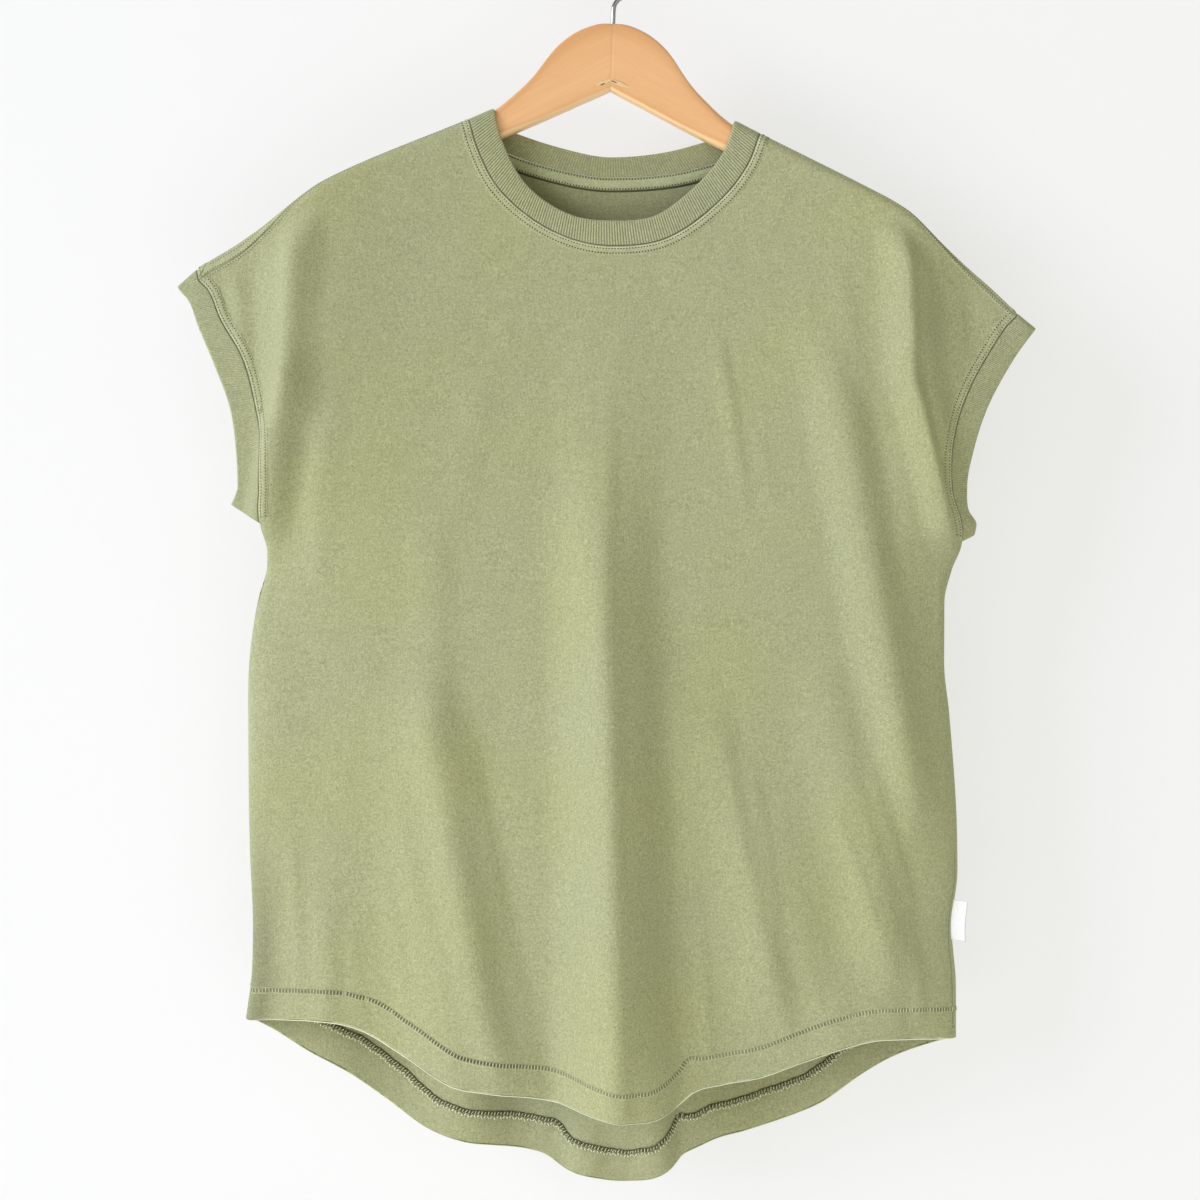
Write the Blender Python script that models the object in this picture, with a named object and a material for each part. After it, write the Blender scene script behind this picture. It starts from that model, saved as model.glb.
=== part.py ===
"""A plain jersey t-shirt with grown-on cap sleeves, hung on a contoured wooden hanger.

All sizes below are millimetres. The origin is the inside of the hook's crown, where a rail holds it.
+X is the viewer's right, +Z is up and the front of the shirt faces -Y.
The cloth is worked out from its outline, the crown line over the hanger, the gap between its two
layers and a table of folds. In the tables x is measured from the hanger's peak and z from the rail.
"""

import math
from collections import namedtuple

import bpy
import numpy as np

MM = 0.001

# Cloth
JERSEY_WALL = 1.2
RIB_WALL = 1.6
HEM_WALL = 2.1
HEM_HEIGHT = 20.0
HEM_STEP = 0.9
TAPE_WALL = 1.0
TAPE_WIDTH = 9.0
SEAM_GAP = 0.3

# Hanger and hook
HANGER_TILT = math.radians(2.1)
PEAK_DROP = 62.0
PEAK_X = -PEAK_DROP * math.sin(HANGER_TILT)
HANGER_HALF_THICKNESS = 5.6
HANGER_FORWARD = 14.0
HANGER_END = 204.0
STEM_DEPTH = 14.0
STEM_CLEARANCE = 0.3
WIRE_DIAMETER = 3.4
WIRE_SIDES = 10
HOOK_INNER_RADIUS = 20.0

# Label in the side seam
LABEL_HEIGHT = 28.0
LABEL_REACH = 10.0
LABEL_THICKNESS = 1.2
LABEL_TOP = -673.0

# How finely the cloth is laid out
SHOULDER_COLUMNS = 12
NECK_COLUMNS = 22
NECK_CROWDING = 0.7
ARMHOLE_ROWS = 17
ARMHOLE_CROWDING = (0.7, 1.0)
SIDE_ROWS = 11
SIDE_REACH = 4

Point = namedtuple("Point", "x z")
CrownRow = namedtuple("CrownRow", "x z seam_drop")
BandRow = namedtuple("BandRow", "seam_x seam_z edge_x edge_z")
GapRow = namedtuple("GapRow", "z front back")
Fold = namedtuple(
    "Fold", "x_top z_top x_bottom z_bottom left_width right_width rise_top rise_bottom"
)
WoodRow = namedtuple("WoodRow", "x drop height corner")

# The crown is the highest line of the shoulders. seam_drop is how far the seam lies down the front.
CROWN = [
    CrownRow(-303, -247.0, 9.0),
    CrownRow(-287, -233.5, 9.0),
    CrownRow(-260, -217.0, 9.6),
    CrownRow(-236, -200.5, 6.0),
    CrownRow(-220, -188.0, 2.0),
    CrownRow(-203, -176.0, 0.7),
    CrownRow(-180, -163.7, 0.5),
    CrownRow(-100, -128.8, 0.5),
    CrownRow(-20, -93.8, 0.5),
    CrownRow(0, -88.0, 0.5),
    CrownRow(20, -95.6, 0.5),
    CrownRow(100, -137.8, 0.5),
    CrownRow(175, -177.4, 0.5),
    CrownRow(194, -188.2, 0.6),
    CrownRow(207, -197.5, 1.0),
    CrownRow(227, -217.0, 2.6),
    CrownRow(245, -233.5, 3.6),
    CrownRow(264, -250.0, 4.0),
    CrownRow(282, -266.5, 4.0),
    CrownRow(294, -276.0, 4.0),
]
ROLL_RADIUS_AT_HANGER = 8.6
ROLL_RADIUS_AT_CAP = 4.2

# Neck seam and the free edge of the neck band, from the left shoulder to the right one.
NECK_FRONT = [
    BandRow(-101, -129.5, -84, -122.5),
    BandRow(-94, -151.0, -78, -143.0),
    BandRow(-79, -179.0, -60, -176.0),
    BandRow(-40, -209.0, -29, -197.0),
    BandRow(-1, -218.5, -1, -201.0),
    BandRow(36, -213.5, 28, -198.0),
    BandRow(74, -187.0, 55, -179.0),
    BandRow(93, -163.0, 77, -153.0),
    BandRow(103, -139.8, 86, -130.5),
]
NECK_BACK = [
    BandRow(-101, -129.5, -84, -122.5),
    BandRow(-94, -139.5, -80, -131.5),
    BandRow(-79, -148.0, -66, -137.0),
    BandRow(-45, -159.5, -37, -146.0),
    BandRow(-1, -166.5, -1, -152.5),
    BandRow(44, -163.5, 38, -149.0),
    BandRow(80, -154.5, 66, -142.0),
    BandRow(97, -148.5, 82, -138.5),
    BandRow(103, -139.8, 86, -130.5),
]

# Armhole seam and the free edge of each arm band, from the shoulder seam to the underarm.
ARM_LEFT = [
    BandRow(-287, -241.0, -301, -250.0),
    BandRow(-280, -250.0, -294, -257.0),
    BandRow(-272, -269.0, -288, -273.0),
    BandRow(-256, -297.0, -276, -301.0),
    BandRow(-247, -330.0, -265, -331.0),
    BandRow(-243, -357.0, -261, -358.0),
    BandRow(-243, -388.0, -260, -385.0),
    BandRow(-244, -401.0, -262, -392.0),
    BandRow(-244, -411.0, -265, -398.0),
]
ARM_RIGHT = [
    BandRow(279, -268.0, 292, -278.0),
    BandRow(272, -275.0, 286, -285.0),
    BandRow(264, -287.0, 277, -298.0),
    BandRow(248, -315.0, 259, -331.0),
    BandRow(238, -341.0, 250, -358.0),
    BandRow(233, -370.0, 245, -386.0),
    BandRow(234, -390.0, 246, -401.0),
    BandRow(241, -410.0, 252, -412.0),
    BandRow(243, -423.0, 251, -419.0),
]

# Side seams below the underarm.
SIDE_LEFT = [
    Point(-244, -411),
    Point(-240, -430),
    Point(-241, -445),
    Point(-247, -466),
    Point(-253, -506),
    Point(-254, -560),
    Point(-253, -633),
    Point(-250, -690),
    Point(-251, -730),
    Point(-255, -756),
]
SIDE_RIGHT = [
    Point(243, -423),
    Point(236, -443),
    Point(231, -466),
    Point(231, -506),
    Point(235, -545),
    Point(240, -612),
    Point(241, -653),
    Point(237, -692),
    Point(240, -735),
    Point(240, -771),
]

# Hem edges, front and back.
HEM_FRONT = [
    Point(-255, -756),
    Point(-202, -757),
    Point(-145, -771),
    Point(-112, -787),
    Point(-85, -799),
    Point(-55, -806),
    Point(8, -815),
    Point(54, -807),
    Point(75, -801),
    Point(103, -794),
    Point(159, -777),
    Point(187, -771),
    Point(240, -771),
]
HEM_BACK = [
    Point(-255, -756),
    Point(-218, -777),
    Point(-190, -792),
    Point(-162, -812),
    Point(-134, -832),
    Point(-106, -847),
    Point(-60, -859),
    Point(5, -868),
    Point(55, -861),
    Point(90, -846),
    Point(146, -823),
    Point(174, -805),
    Point(202, -789),
    Point(240, -771),
]

# Half the distance between the two layers, at the middle of the body.
GAPS = [
    GapRow(-80, 9.0, 9.0),
    GapRow(-200, 11.0, 11.0),
    GapRow(-300, 14.0, 13.0),
    GapRow(-420, 18.0, 16.0),
    GapRow(-560, 22.0, 18.0),
    GapRow(-700, 24.0, 20.0),
    GapRow(-880, 26.0, 22.0),
]
CAP_GAP = 9.0
GAP_RUN = 120.0
SLEEVE_GAP_SHARE = 0.72

# Folds that both layers share. A rise stands towards the front.
FOLDS_SHARED = [
    Fold(-3, -290, 8, -900, 52, 40, 3, 31),
    Fold(-132, -470, -92, -900, 52, 44, 2, 16),
    Fold(182, -400, 228, -640, 36, 26, 3, 9),
    Fold(72, -500, 140, -760, 44, 34, 2, 10),
    Fold(140, -480, 205, -760, 36, 28, 2, 8),
    Fold(-205, -560, -196, -900, 40, 40, 1, 7),
    Fold(150, -700, 176, -900, 40, 36, 1, 7),
]
FOLDS_FRONT = [
    Fold(-226, -176, -238, -480, 20, 22, 5, 5),
    Fold(203, -184, 212, -318, 24, 22, 5, 11),
    Fold(212, -290, 238, -440, 26, 20, 8, 9),
]
FOLDS_BACK = [
    Fold(-216, -200, -228, -520, 26, 24, -4, -7),
    Fold(206, -215, 216, -500, 28, 26, -4, -8),
    Fold(-60, -330, -72, -900, 40, 46, -1, -9),
    Fold(88, -360, 96, -900, 44, 40, -1, -8),
]

# Half of the hanger seen from its peak: drop of its upper edge, height and rounding of its edges.
WOOD = [
    WoodRow(0, 0.0, 43.0, 2.5),
    WoodRow(9, 0.8, 46.6, 2.5),
    WoodRow(22, 4.2, 49.5, 2.5),
    WoodRow(36, 15.0, 45.8, 2.5),
    WoodRow(49, 31.0, 36.4, 2.5),
    WoodRow(60, 43.5, 29.5, 3.0),
    WoodRow(73, 57.8, 22.6, 4.0),
    WoodRow(80, 64.6, 20.4, 5.2),
    WoodRow(86, 68.2, 20.0, 5.4),
    WoodRow(101, 75.0, 20.0, 5.5),
    WoodRow(150, 98.8, 20.0, 5.5),
    WoodRow(186, 117.0, 19.6, 5.5),
    WoodRow(194, 122.2, 18.4, 5.5),
    WoodRow(201, 128.2, 14.0, 5.4),
    WoodRow(204, 132.0, 9.5, 4.4),
]
WOOD_STATIONS = [0, 6, 14, 22, 29, 36, 42, 49, 54, 60, 66, 73, 80, 87, 101, 150, 186, 194, 200, 204]


def curve_through(keys, values):
    """A smooth curve through the rows of a table, straight beyond its ends."""
    keys = np.asarray(keys, float)
    values = np.asarray(values, float)
    steps = np.diff(values) / np.diff(keys)
    slopes = np.concatenate([[steps[0]], 0.5 * (steps[:-1] + steps[1:]), [steps[-1]]])
    turning = np.concatenate([[False], steps[:-1] * steps[1:] <= 0, [False]])
    slopes = np.where(turning, 0.0, slopes)

    def at(key):
        key = np.asarray(key, float)
        i = np.clip(np.searchsorted(keys, key) - 1, 0, len(keys) - 2)
        span = keys[i + 1] - keys[i]
        t = np.clip((key - keys[i]) / span, 0, 1)
        value = values[i] * (1 + 2 * t) * (1 - t) ** 2 + values[i + 1] * t * t * (3 - 2 * t)
        value = value + slopes[i] * span * t * (1 - t) ** 2
        value = value + slopes[i + 1] * span * t * t * (t - 1)
        before = np.minimum(key - keys[0], 0) * slopes[0]
        after = np.maximum(key - keys[-1], 0) * slopes[-1]
        return value + before + after

    return at


def ease(t):
    """A soft step from 0 to 1."""
    t = np.clip(t, 0, 1)
    return t * t * (3 - 2 * t)


def column(table, name):
    return [getattr(row, name) for row in table]


def outer_side(arm, side):
    """The panels' outer x at each depth: the armhole seam, then the side seam."""
    rows = [(-row.seam_z, row.seam_x) for row in arm[:-1]]
    rows += [(-row.z, row.x) for row in side]
    return curve_through([row[0] for row in rows], [row[1] for row in rows])


crown_height = curve_through(column(CROWN, "x"), column(CROWN, "z"))
seam_drop = curve_through(column(CROWN, "x"), column(CROWN, "seam_drop"))
front_gap = curve_through([-row.z for row in GAPS], column(GAPS, "front"))
back_gap = curve_through([-row.z for row in GAPS], column(GAPS, "back"))
left_side = outer_side(ARM_LEFT, SIDE_LEFT)
right_side = outer_side(ARM_RIGHT, SIDE_RIGHT)


def roll_radius(x):
    """Radius of the cloth's roll over the crown: wide over the hanger, tight on the caps."""
    away = ease((np.abs(x) - 212) / 40)
    return ROLL_RADIUS_AT_HANGER + (ROLL_RADIUS_AT_CAP - ROLL_RADIUS_AT_HANGER) * away


def crown_depth(x):
    """The hanger's arms curve forward, and the caps fall back a little beyond its ends."""
    reach = np.minimum(np.abs(x) / HANGER_END, 1)
    past = np.maximum(np.abs(x) - HANGER_END, 0)
    return -HANGER_FORWARD * reach * reach + 0.05 * past


def fold_sum(folds, x, z):
    """Rise of the cloth towards the front from a table of folds."""
    total = np.zeros(np.broadcast(x, z).shape)
    for fold in folds:
        share = (fold.z_top - z) / (fold.z_top - fold.z_bottom)
        crest = fold.x_top + (fold.x_bottom - fold.x_top) * share
        rise = fold.rise_top + (fold.rise_bottom - fold.rise_top) * np.clip(share, 0, 1)
        rise = rise * ease(share / 0.25) * ease((1 - share) / 0.25)
        across = x - crest
        width = np.where(across < 0, fold.left_width, fold.right_width)
        near = np.clip(np.abs(across) / width, 0, 1)
        total = total + rise * 0.5 * (1 + np.cos(math.pi * near))
    return total


def sway(x, z):
    """Depth of the middle of the cloth, halfway between its layers."""
    fade = 1 - ease((-z - 150) / 550)
    return crown_depth(x) * fade - fold_sum(FOLDS_SHARED, x, z)


def side_closing(x, z):
    """How far the two layers are apart towards the sides, as a share of the gap in the middle."""
    edge = np.where(x < 0, left_side(-z), right_side(-z))
    underarm = np.where(x < 0, ARM_LEFT[-1].seam_z, ARM_RIGHT[-1].seam_z)
    above = np.clip((z - underarm) / 50, 0, 1)
    at_edge = SLEEVE_GAP_SHARE * np.sqrt(1 - (1 - above) ** 2)
    reach = np.clip(np.abs(x / edge), 0, 1)
    closing = np.maximum(1 - reach**3.2, 0) ** (0.5 + 0.5 * ease(above))
    return at_edge + (1 - at_edge) * closing


def place(layer, x, run):
    """A point of the outer face. layer is -1 in front and 1 behind. run is the height before the
    cloth is rolled over the crown, so a run above the crown comes down on the other side."""
    x = np.asarray(x, float)
    run = np.asarray(run, float)
    radius = roll_radius(x)
    crown = crown_height(x)
    down = crown - run
    side = np.where(down < 0, -layer, layer)
    down = np.abs(down)
    angle = np.minimum(down / radius, math.pi / 2)
    past = np.maximum(down - radius * math.pi / 2, 0)
    z = crown - radius * (1 - np.cos(angle)) - past
    body_gap = np.where(side < 0, front_gap(-z), back_gap(-z))
    cap = ease((np.abs(x) - 200) / 50) * ease((z + 460) / 60)
    body_gap = body_gap + (CAP_GAP - body_gap) * cap
    gap = radius * np.sin(angle) + (body_gap - radius) * ease(past / GAP_RUN)
    closing = side_closing(x, z)
    settle = ease(past / 30)
    gap = gap * (1 + (closing - 1) * settle)
    own = np.where(side < 0, fold_sum(FOLDS_FRONT, x, z), fold_sum(FOLDS_BACK, x, z))
    y = sway(x, z) + side * gap - own * closing * settle
    return np.stack([x + PEAK_X, y, z], axis=-1)


def unroll(x, z):
    """The run of a point at real height z on its own side of the crown."""
    radius = roll_radius(x)
    crown = crown_height(x)
    drop = np.maximum(crown - z, 0)
    near = radius * np.arccos(np.clip(1 - drop / radius, -1, 1))
    far = drop + radius * (math.pi / 2 - 1)
    return crown - np.where(drop < radius, near, far)


def roll_down(x, run):
    """The real height of a run that lies below the roll."""
    return run + roll_radius(x) * (math.pi / 2 - 1)


def spaced(count, crowd_start, crowd_end):
    """Shares from 0 to 1, crowded towards each end by the given strength."""
    t = np.linspace(0, 1, count + 1)
    start = t ** (1 + crowd_start)
    end = 1 - (1 - t) ** (1 + crowd_end)
    return start * (1 - ease(t)) + end * ease(t)


def along(points, shares):
    """Points at shares of the length of a smooth line through a short table of pairs."""
    points = np.asarray(points, float)
    lengths = np.concatenate([[0], np.cumsum(np.hypot(*np.diff(points, axis=0).T))])
    first = curve_through(lengths, points[:, 0])
    second = curve_through(lengths, points[:, 1])
    return np.stack([first(shares * lengths[-1]), second(shares * lengths[-1])], axis=-1)


def seam_run(layer, x):
    """The run of the shoulder seam, which lies a little in front of the crown."""
    crown = crown_height(x)
    return crown + layer * (crown - unroll(x, crown - seam_drop(x)))


def neck_line(layer, edge):
    """The neck seam or the band's free edge as (x, run), from the left shoulder to the right."""
    table = NECK_FRONT if layer < 0 else NECK_BACK
    if edge:
        pairs = [(row.edge_x, row.edge_z) for row in table]
    else:
        pairs = [(row.seam_x, row.seam_z) for row in table]
    x = np.array([pair[0] for pair in pairs], float)
    run = unroll(x, np.array([pair[1] for pair in pairs], float))
    for k in (0, -1):
        run[k] = crown_height(x[k]) if edge else seam_run(layer, x[k])
    return along(np.stack([x, run], axis=-1), spaced(NECK_COLUMNS, NECK_CROWDING, NECK_CROWDING))


def arm_line(layer, arm, edge):
    """The armhole seam or the band's free edge as (x, run), from the shoulder to the underarm."""
    if edge:
        pairs = [(row.edge_x, row.edge_z) for row in arm]
    else:
        pairs = [(row.seam_x, row.seam_z) for row in arm]
    x = np.array([pair[0] for pair in pairs], float)
    run = unroll(x, np.array([pair[1] for pair in pairs], float))
    first = seam_run(layer, x[0])
    if layer < 0:
        rows = np.stack([x, run], axis=-1)
        rows[0, 1] = first
    else:
        outward = 1.5 * np.sign(x[0])
        rows = np.stack([x, run], axis=-1)
        start = [(x[0], first), (x[0] + outward, crown_height(x[0] + outward))]
        rows = np.concatenate([np.array(start), rows[1:]])
    return along(rows, spaced(ARMHOLE_ROWS, *ARMHOLE_CROWDING))


def panel_lines(layer):
    """The edges of a panel as (x, run): its top, its sides down to the hem fold, and its hem."""
    neck = NECK_FRONT if layer < 0 else NECK_BACK
    hem = HEM_FRONT if layer < 0 else HEM_BACK
    halves = []
    for arm, neck_row in ((ARM_LEFT, neck[0]), (ARM_RIGHT, neck[-1])):
        shares = spaced(SHOULDER_COLUMNS, 0.5, 0.0)
        x = arm[0].seam_x + (neck_row.seam_x - arm[0].seam_x) * shares
        halves.append(np.stack([x, seam_run(layer, x)], axis=-1))
    top = np.concatenate([halves[0], neck_line(layer, False)[1:-1], halves[1][::-1]])
    shares = (top[:, 0] - top[0, 0]) / (top[-1, 0] - top[0, 0])
    first, last = SHOULDER_COLUMNS, SHOULDER_COLUMNS + NECK_COLUMNS
    even = np.linspace(shares[first], shares[last], NECK_COLUMNS + 1)
    shares[first : last + 1] = 0.3 * shares[first : last + 1] + 0.7 * even

    sides = []
    for arm, side, outline in ((ARM_LEFT, SIDE_LEFT, left_side), (ARM_RIGHT, SIDE_RIGHT, right_side)):
        end_z = side[-1].z + HEM_HEIGHT + HEM_STEP
        z = np.linspace(side[0].z, end_z, SIDE_ROWS + 1)
        lower = np.stack([outline(-z), unroll(outline(-z), z)], axis=-1)
        sides.append(np.concatenate([arm_line(layer, arm, False)[:-1], lower]))

    hem_at = curve_through(column(hem, "x"), column(hem, "z"))
    hem_x = hem[0].x + (hem[-1].x - hem[0].x) * shares
    slope = (hem_at(hem_x + 1) - hem_at(hem_x - 1)) / 2
    fold_z = hem_at(hem_x) + (HEM_HEIGHT + HEM_STEP) * np.sqrt(1 + slope * slope)
    fold_x = sides[0][-1, 0] + (sides[1][-1, 0] - sides[0][-1, 0]) * shares
    bottom = np.stack([fold_x, unroll(fold_x, fold_z)], axis=-1)
    bottom[0] = sides[0][-1]
    bottom[-1] = sides[1][-1]
    edge = np.stack([hem_x, unroll(hem_x, hem_at(hem_x))], axis=-1)
    return top, bottom, edge, sides[0], sides[1], shares


def panel_grid(layer):
    """Rows of (x, run) points filling a panel between its four edges, with the hem rows added."""
    top, bottom, edge, left, right, shares = panel_lines(layer)
    armhole = 0.32
    upper = armhole * spaced(ARMHOLE_ROWS, *ARMHOLE_CROWDING)
    lower = armhole + (1 - armhole) * np.linspace(0, 1, SIDE_ROWS + 1)[1:]
    rows = []
    for v, left_point, right_point in zip(np.concatenate([upper, lower]), left, right):
        between = (1 - v) * top + v * bottom
        left_shift = np.outer((1 - shares) ** SIDE_REACH, left_point - between[0])
        right_shift = np.outer(shares**SIDE_REACH, right_point - between[-1])
        rows.append(between + left_shift + right_shift)
    step = HEM_STEP / (HEM_HEIGHT + HEM_STEP)
    for share in (step, 0.5, 0.96, 1.0):
        row = bottom + (edge - bottom) * share
        for k, outline in ((0, left_side), (-1, right_side)):
            row[k, 0] = outline(-roll_down(row[k, 0], row[k, 1]))
        rows.append(row)
    return np.stack(rows)


def unit(v):
    return v / np.maximum(np.linalg.norm(v, axis=-1, keepdims=True), 1e-9)


def outward(layer, x, run):
    """The outward normal of the cloth at points given as x and run."""
    h = 0.05
    over = place(layer, x + h, run) - place(layer, x - h, run)
    up = place(layer, x, run + h) - place(layer, x, run - h)
    return -layer * unit(np.cross(over, up))


def seam_inset(line, normal, towards):
    """Half a seam gap square to a seam, along the cloth and towards the given points."""
    way = unit(np.cross(unit(np.gradient(line, axis=0)), normal))
    sign = np.sign(np.sum(way * (towards - line), axis=-1, keepdims=True))
    return way * sign * SEAM_GAP / 2


def sheet_mesh(outer, inner):
    """A closed wall between two grids of points of the same size."""
    rows, columns = outer.shape[:2]
    count = rows * columns
    index = np.arange(count).reshape(rows, columns)
    faces = []
    for i in range(rows - 1):
        for j in range(columns - 1):
            a, b = index[i, j], index[i + 1, j]
            c, d = index[i + 1, j + 1], index[i, j + 1]
            faces += [(a, b, c), (a, c, d)]
            faces += [(a + count, c + count, b + count), (a + count, d + count, c + count)]
    border = list(index[:, 0]) + list(index[-1, 1:])
    border += list(index[::-1, -1][1:]) + list(index[0, ::-1][1:-1])
    for k, a in enumerate(border):
        b = border[(k + 1) % len(border)]
        faces.append((b, a, a + count, b + count))
    return np.concatenate([outer.reshape(-1, 3), inner.reshape(-1, 3)]), faces


def tube_mesh(sections, closed):
    """A solid through sections of the same number of points: a closed ring, or one with ends."""
    stations, points = sections.shape[:2]
    faces = []
    for i in range(stations if closed else stations - 1):
        i2 = (i + 1) % stations
        for j in range(points):
            j2 = (j + 1) % points
            faces.append((i * points + j, i2 * points + j, i2 * points + j2, i * points + j2))
    if not closed:
        faces.append(tuple(range(points)))
        faces.append(tuple((stations - 1) * points + j for j in reversed(range(points))))
    return sections.reshape(-1, 3), faces


def signed_volume(points, faces):
    total = 0.0
    for face in faces:
        for k in range(1, len(face) - 1):
            a, b, c = points[face[0]], points[face[k]], points[face[k + 1]]
            total += float(np.dot(a, np.cross(b, c)))
    return total


def material(name, color, roughness, metallic=0.0):
    made = bpy.data.materials.new(name)
    made.use_nodes = True
    shader = made.node_tree.nodes["Principled BSDF"]
    shader.inputs["Base Color"].default_value = (*color, 1.0)
    shader.inputs["Roughness"].default_value = roughness
    shader.inputs["Metallic"].default_value = metallic
    return made


def add_object(name, points, faces, made):
    if signed_volume(points, faces) < 0:
        faces = [tuple(reversed(face)) for face in faces]
    faces = [tuple(int(i) for i in face) for face in faces]
    mesh = bpy.data.meshes.new(name)
    mesh.from_pydata((np.asarray(points) * MM).tolist(), [], faces)
    mesh.materials.append(made)
    mesh.update()
    thing = bpy.data.objects.new(name, mesh)
    bpy.context.scene.collection.objects.link(thing)
    return thing


def underarm_normal(arm):
    """The way out of the fold under an arm band, square to it and downwards."""
    last = arm[-1]
    out = np.array([last.edge_z - last.seam_z, 0.0, last.seam_x - last.edge_x])
    return unit(out * (-1.0 if out[2] > 0 else 1.0))


def panel_normals(layer, grid, points):
    """Normals of a panel. At the side seams the cloth turns straight from front to back."""
    normal = outward(layer, grid[..., 0], grid[..., 1])
    for k, side, arm in ((0, 1.0, ARM_LEFT), (-1, -1.0, ARM_RIGHT)):
        line = points[ARMHOLE_ROWS:, k]
        flat = np.gradient(line, axis=0) * np.array([1, 0, 1])
        normal[ARMHOLE_ROWS:, k] = side * unit(np.cross(flat, [0, -1, 0]))
        corner = normal[ARMHOLE_ROWS, k] + underarm_normal(arm)
        normal[ARMHOLE_ROWS, k] = unit(corner)
    return normal


def build_panel(name, layer, points, normal, made):
    """One wall of jersey whose edges lie half a seam gap from each seam."""
    thickness = np.full(points.shape[:2], JERSEY_WALL)
    thickness[-4:] = HEM_WALL
    face = points.copy()
    face[0] += seam_inset(points[0], normal[0], points[1])
    for k, inside in ((0, 1), (-1, -2)):
        arm = slice(0, ARMHOLE_ROWS + 1)
        face[arm, k] += seam_inset(points[arm, k], normal[arm, k], points[arm, inside])
        face[ARMHOLE_ROWS:, k, 1] += layer * SEAM_GAP / 2
    inner = face - normal * thickness[..., None]
    face[-1] -= normal[-1] * 0.35
    inner[-1] += normal[-1] * 0.35
    add_object(name, *sheet_mesh(face, inner), made)


def build_band(name, seams, edges, seam_normals, made, fold_normal=None):
    """A rib band between its seam and its folded free edge, round the front and then the back.
    Its seam edge takes the panels' normals, so both edges face each other squarely."""
    loops = []
    normals = []
    for share in (0.0, 0.34, 0.68, 0.94, 1.0):
        line = {layer: seams[layer] + (edges[layer] - seams[layer]) * share for layer in (-1, 1)}
        side = {layer: place(layer, line[layer][:, 0], line[layer][:, 1]) for layer in (-1, 1)}
        turn = {layer: outward(layer, line[layer][:, 0], line[layer][:, 1]) for layer in (-1, 1)}
        side[-1][-1] = 0.5 * (side[-1][-1] + side[1][-1])
        if fold_normal is not None:
            turn[-1][-1] = fold_normal
        loops.append(np.concatenate([side[-1], side[1][1:-1][::-1]]))
        normals.append(np.concatenate([turn[-1], turn[1][1:-1][::-1]]))
    surface = np.stack(loops, axis=1)
    normal = np.stack(normals, axis=1)
    normal[:, 0] = np.concatenate([seam_normals[-1], seam_normals[1][1:-1][::-1]])
    line = surface[:, 0]
    around = np.concatenate([line[-1:], line, line[:1]])
    way = unit(np.cross(unit(around[2:] - around[:-2]), normal[:, 0]))
    sign = np.sign(np.sum(way * (surface[:, 1] - line), axis=-1, keepdims=True))
    surface[:, 0] = line + way * sign * SEAM_GAP / 2
    inner = surface - normal * RIB_WALL
    surface[:, -1] -= normal[:, -1] * 0.45
    inner[:, -1] += normal[:, -1] * 0.45
    sections = np.concatenate([surface, inner[:, ::-1]], axis=1)
    return add_object(name, *tube_mesh(sections, True), made)


def build_neck_band(grids, normals, made):
    first, last = SHOULDER_COLUMNS, SHOULDER_COLUMNS + NECK_COLUMNS
    edges = {layer: neck_line(layer, True) for layer in (-1, 1)}
    seams = {layer: grids[layer][0, first : last + 1] for layer in (-1, 1)}
    seam_normals = {layer: normals[layer][0, first : last + 1] for layer in (-1, 1)}
    return build_band("neck_band", seams, edges, seam_normals, made)


def build_arm_band(name, grids, normals, arm, k, made):
    edges = {layer: arm_line(layer, arm, True) for layer in (-1, 1)}
    seams = {layer: grids[layer][: ARMHOLE_ROWS + 1, k] for layer in (-1, 1)}
    seam_normals = {layer: normals[layer][: ARMHOLE_ROWS + 1, k] for layer in (-1, 1)}
    return build_band(name, seams, edges, seam_normals, made, underarm_normal(arm))


def build_tape(grids, made):
    """A strip below the back neck seam, made from the back panel's points and moved inwards."""
    seam = grids[1][0, SHOULDER_COLUMNS : SHOULDER_COLUMNS + NECK_COLUMNS + 1][5:-5]
    lower = seam - np.array([0.0, TAPE_WIDTH])
    rows = np.stack([seam + (lower - seam) * share for share in (0.06, 0.5, 1.0)])
    points = place(1, rows[..., 0], rows[..., 1])
    normal = outward(1, rows[..., 0], rows[..., 1])
    outside = points - normal * (JERSEY_WALL + SEAM_GAP)
    inside = outside - normal * TAPE_WALL
    return add_object("neck_tape", *sheet_mesh(outside, inside), made)


def build_label(side_seam, made):
    """A small folded tape standing out of the side seam."""
    rows = []
    for share in np.linspace(0, 1, 5):
        z = LABEL_TOP - LABEL_HEIGHT * share
        base = float(np.interp(-z, -side_seam[:, 2], side_seam[:, 0])) + SEAM_GAP
        depth = float(np.interp(-z, -side_seam[:, 2], side_seam[:, 1]))
        row = []
        for reach in np.linspace(0, 1, 4):
            bend = 1.6 * reach * reach + 0.8 * math.sin(math.pi * share)
            row.append((base + LABEL_REACH * reach, depth - bend, z - 1.5 * reach))
        rows.append(row)
    middle = np.array(rows)
    half = np.array([0, LABEL_THICKNESS / 2, 0])
    return add_object("side_label", *sheet_mesh(middle - half, middle + half), made)


def tilted(points):
    """Turns the level hanger by its tilt about the rail."""
    points = np.asarray(points, float)
    x = points[..., 0] * math.cos(HANGER_TILT) + points[..., 2] * math.sin(HANGER_TILT)
    z = points[..., 2] * math.cos(HANGER_TILT) - points[..., 0] * math.sin(HANGER_TILT)
    return np.stack([x, points[..., 1], z], axis=-1)


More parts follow.
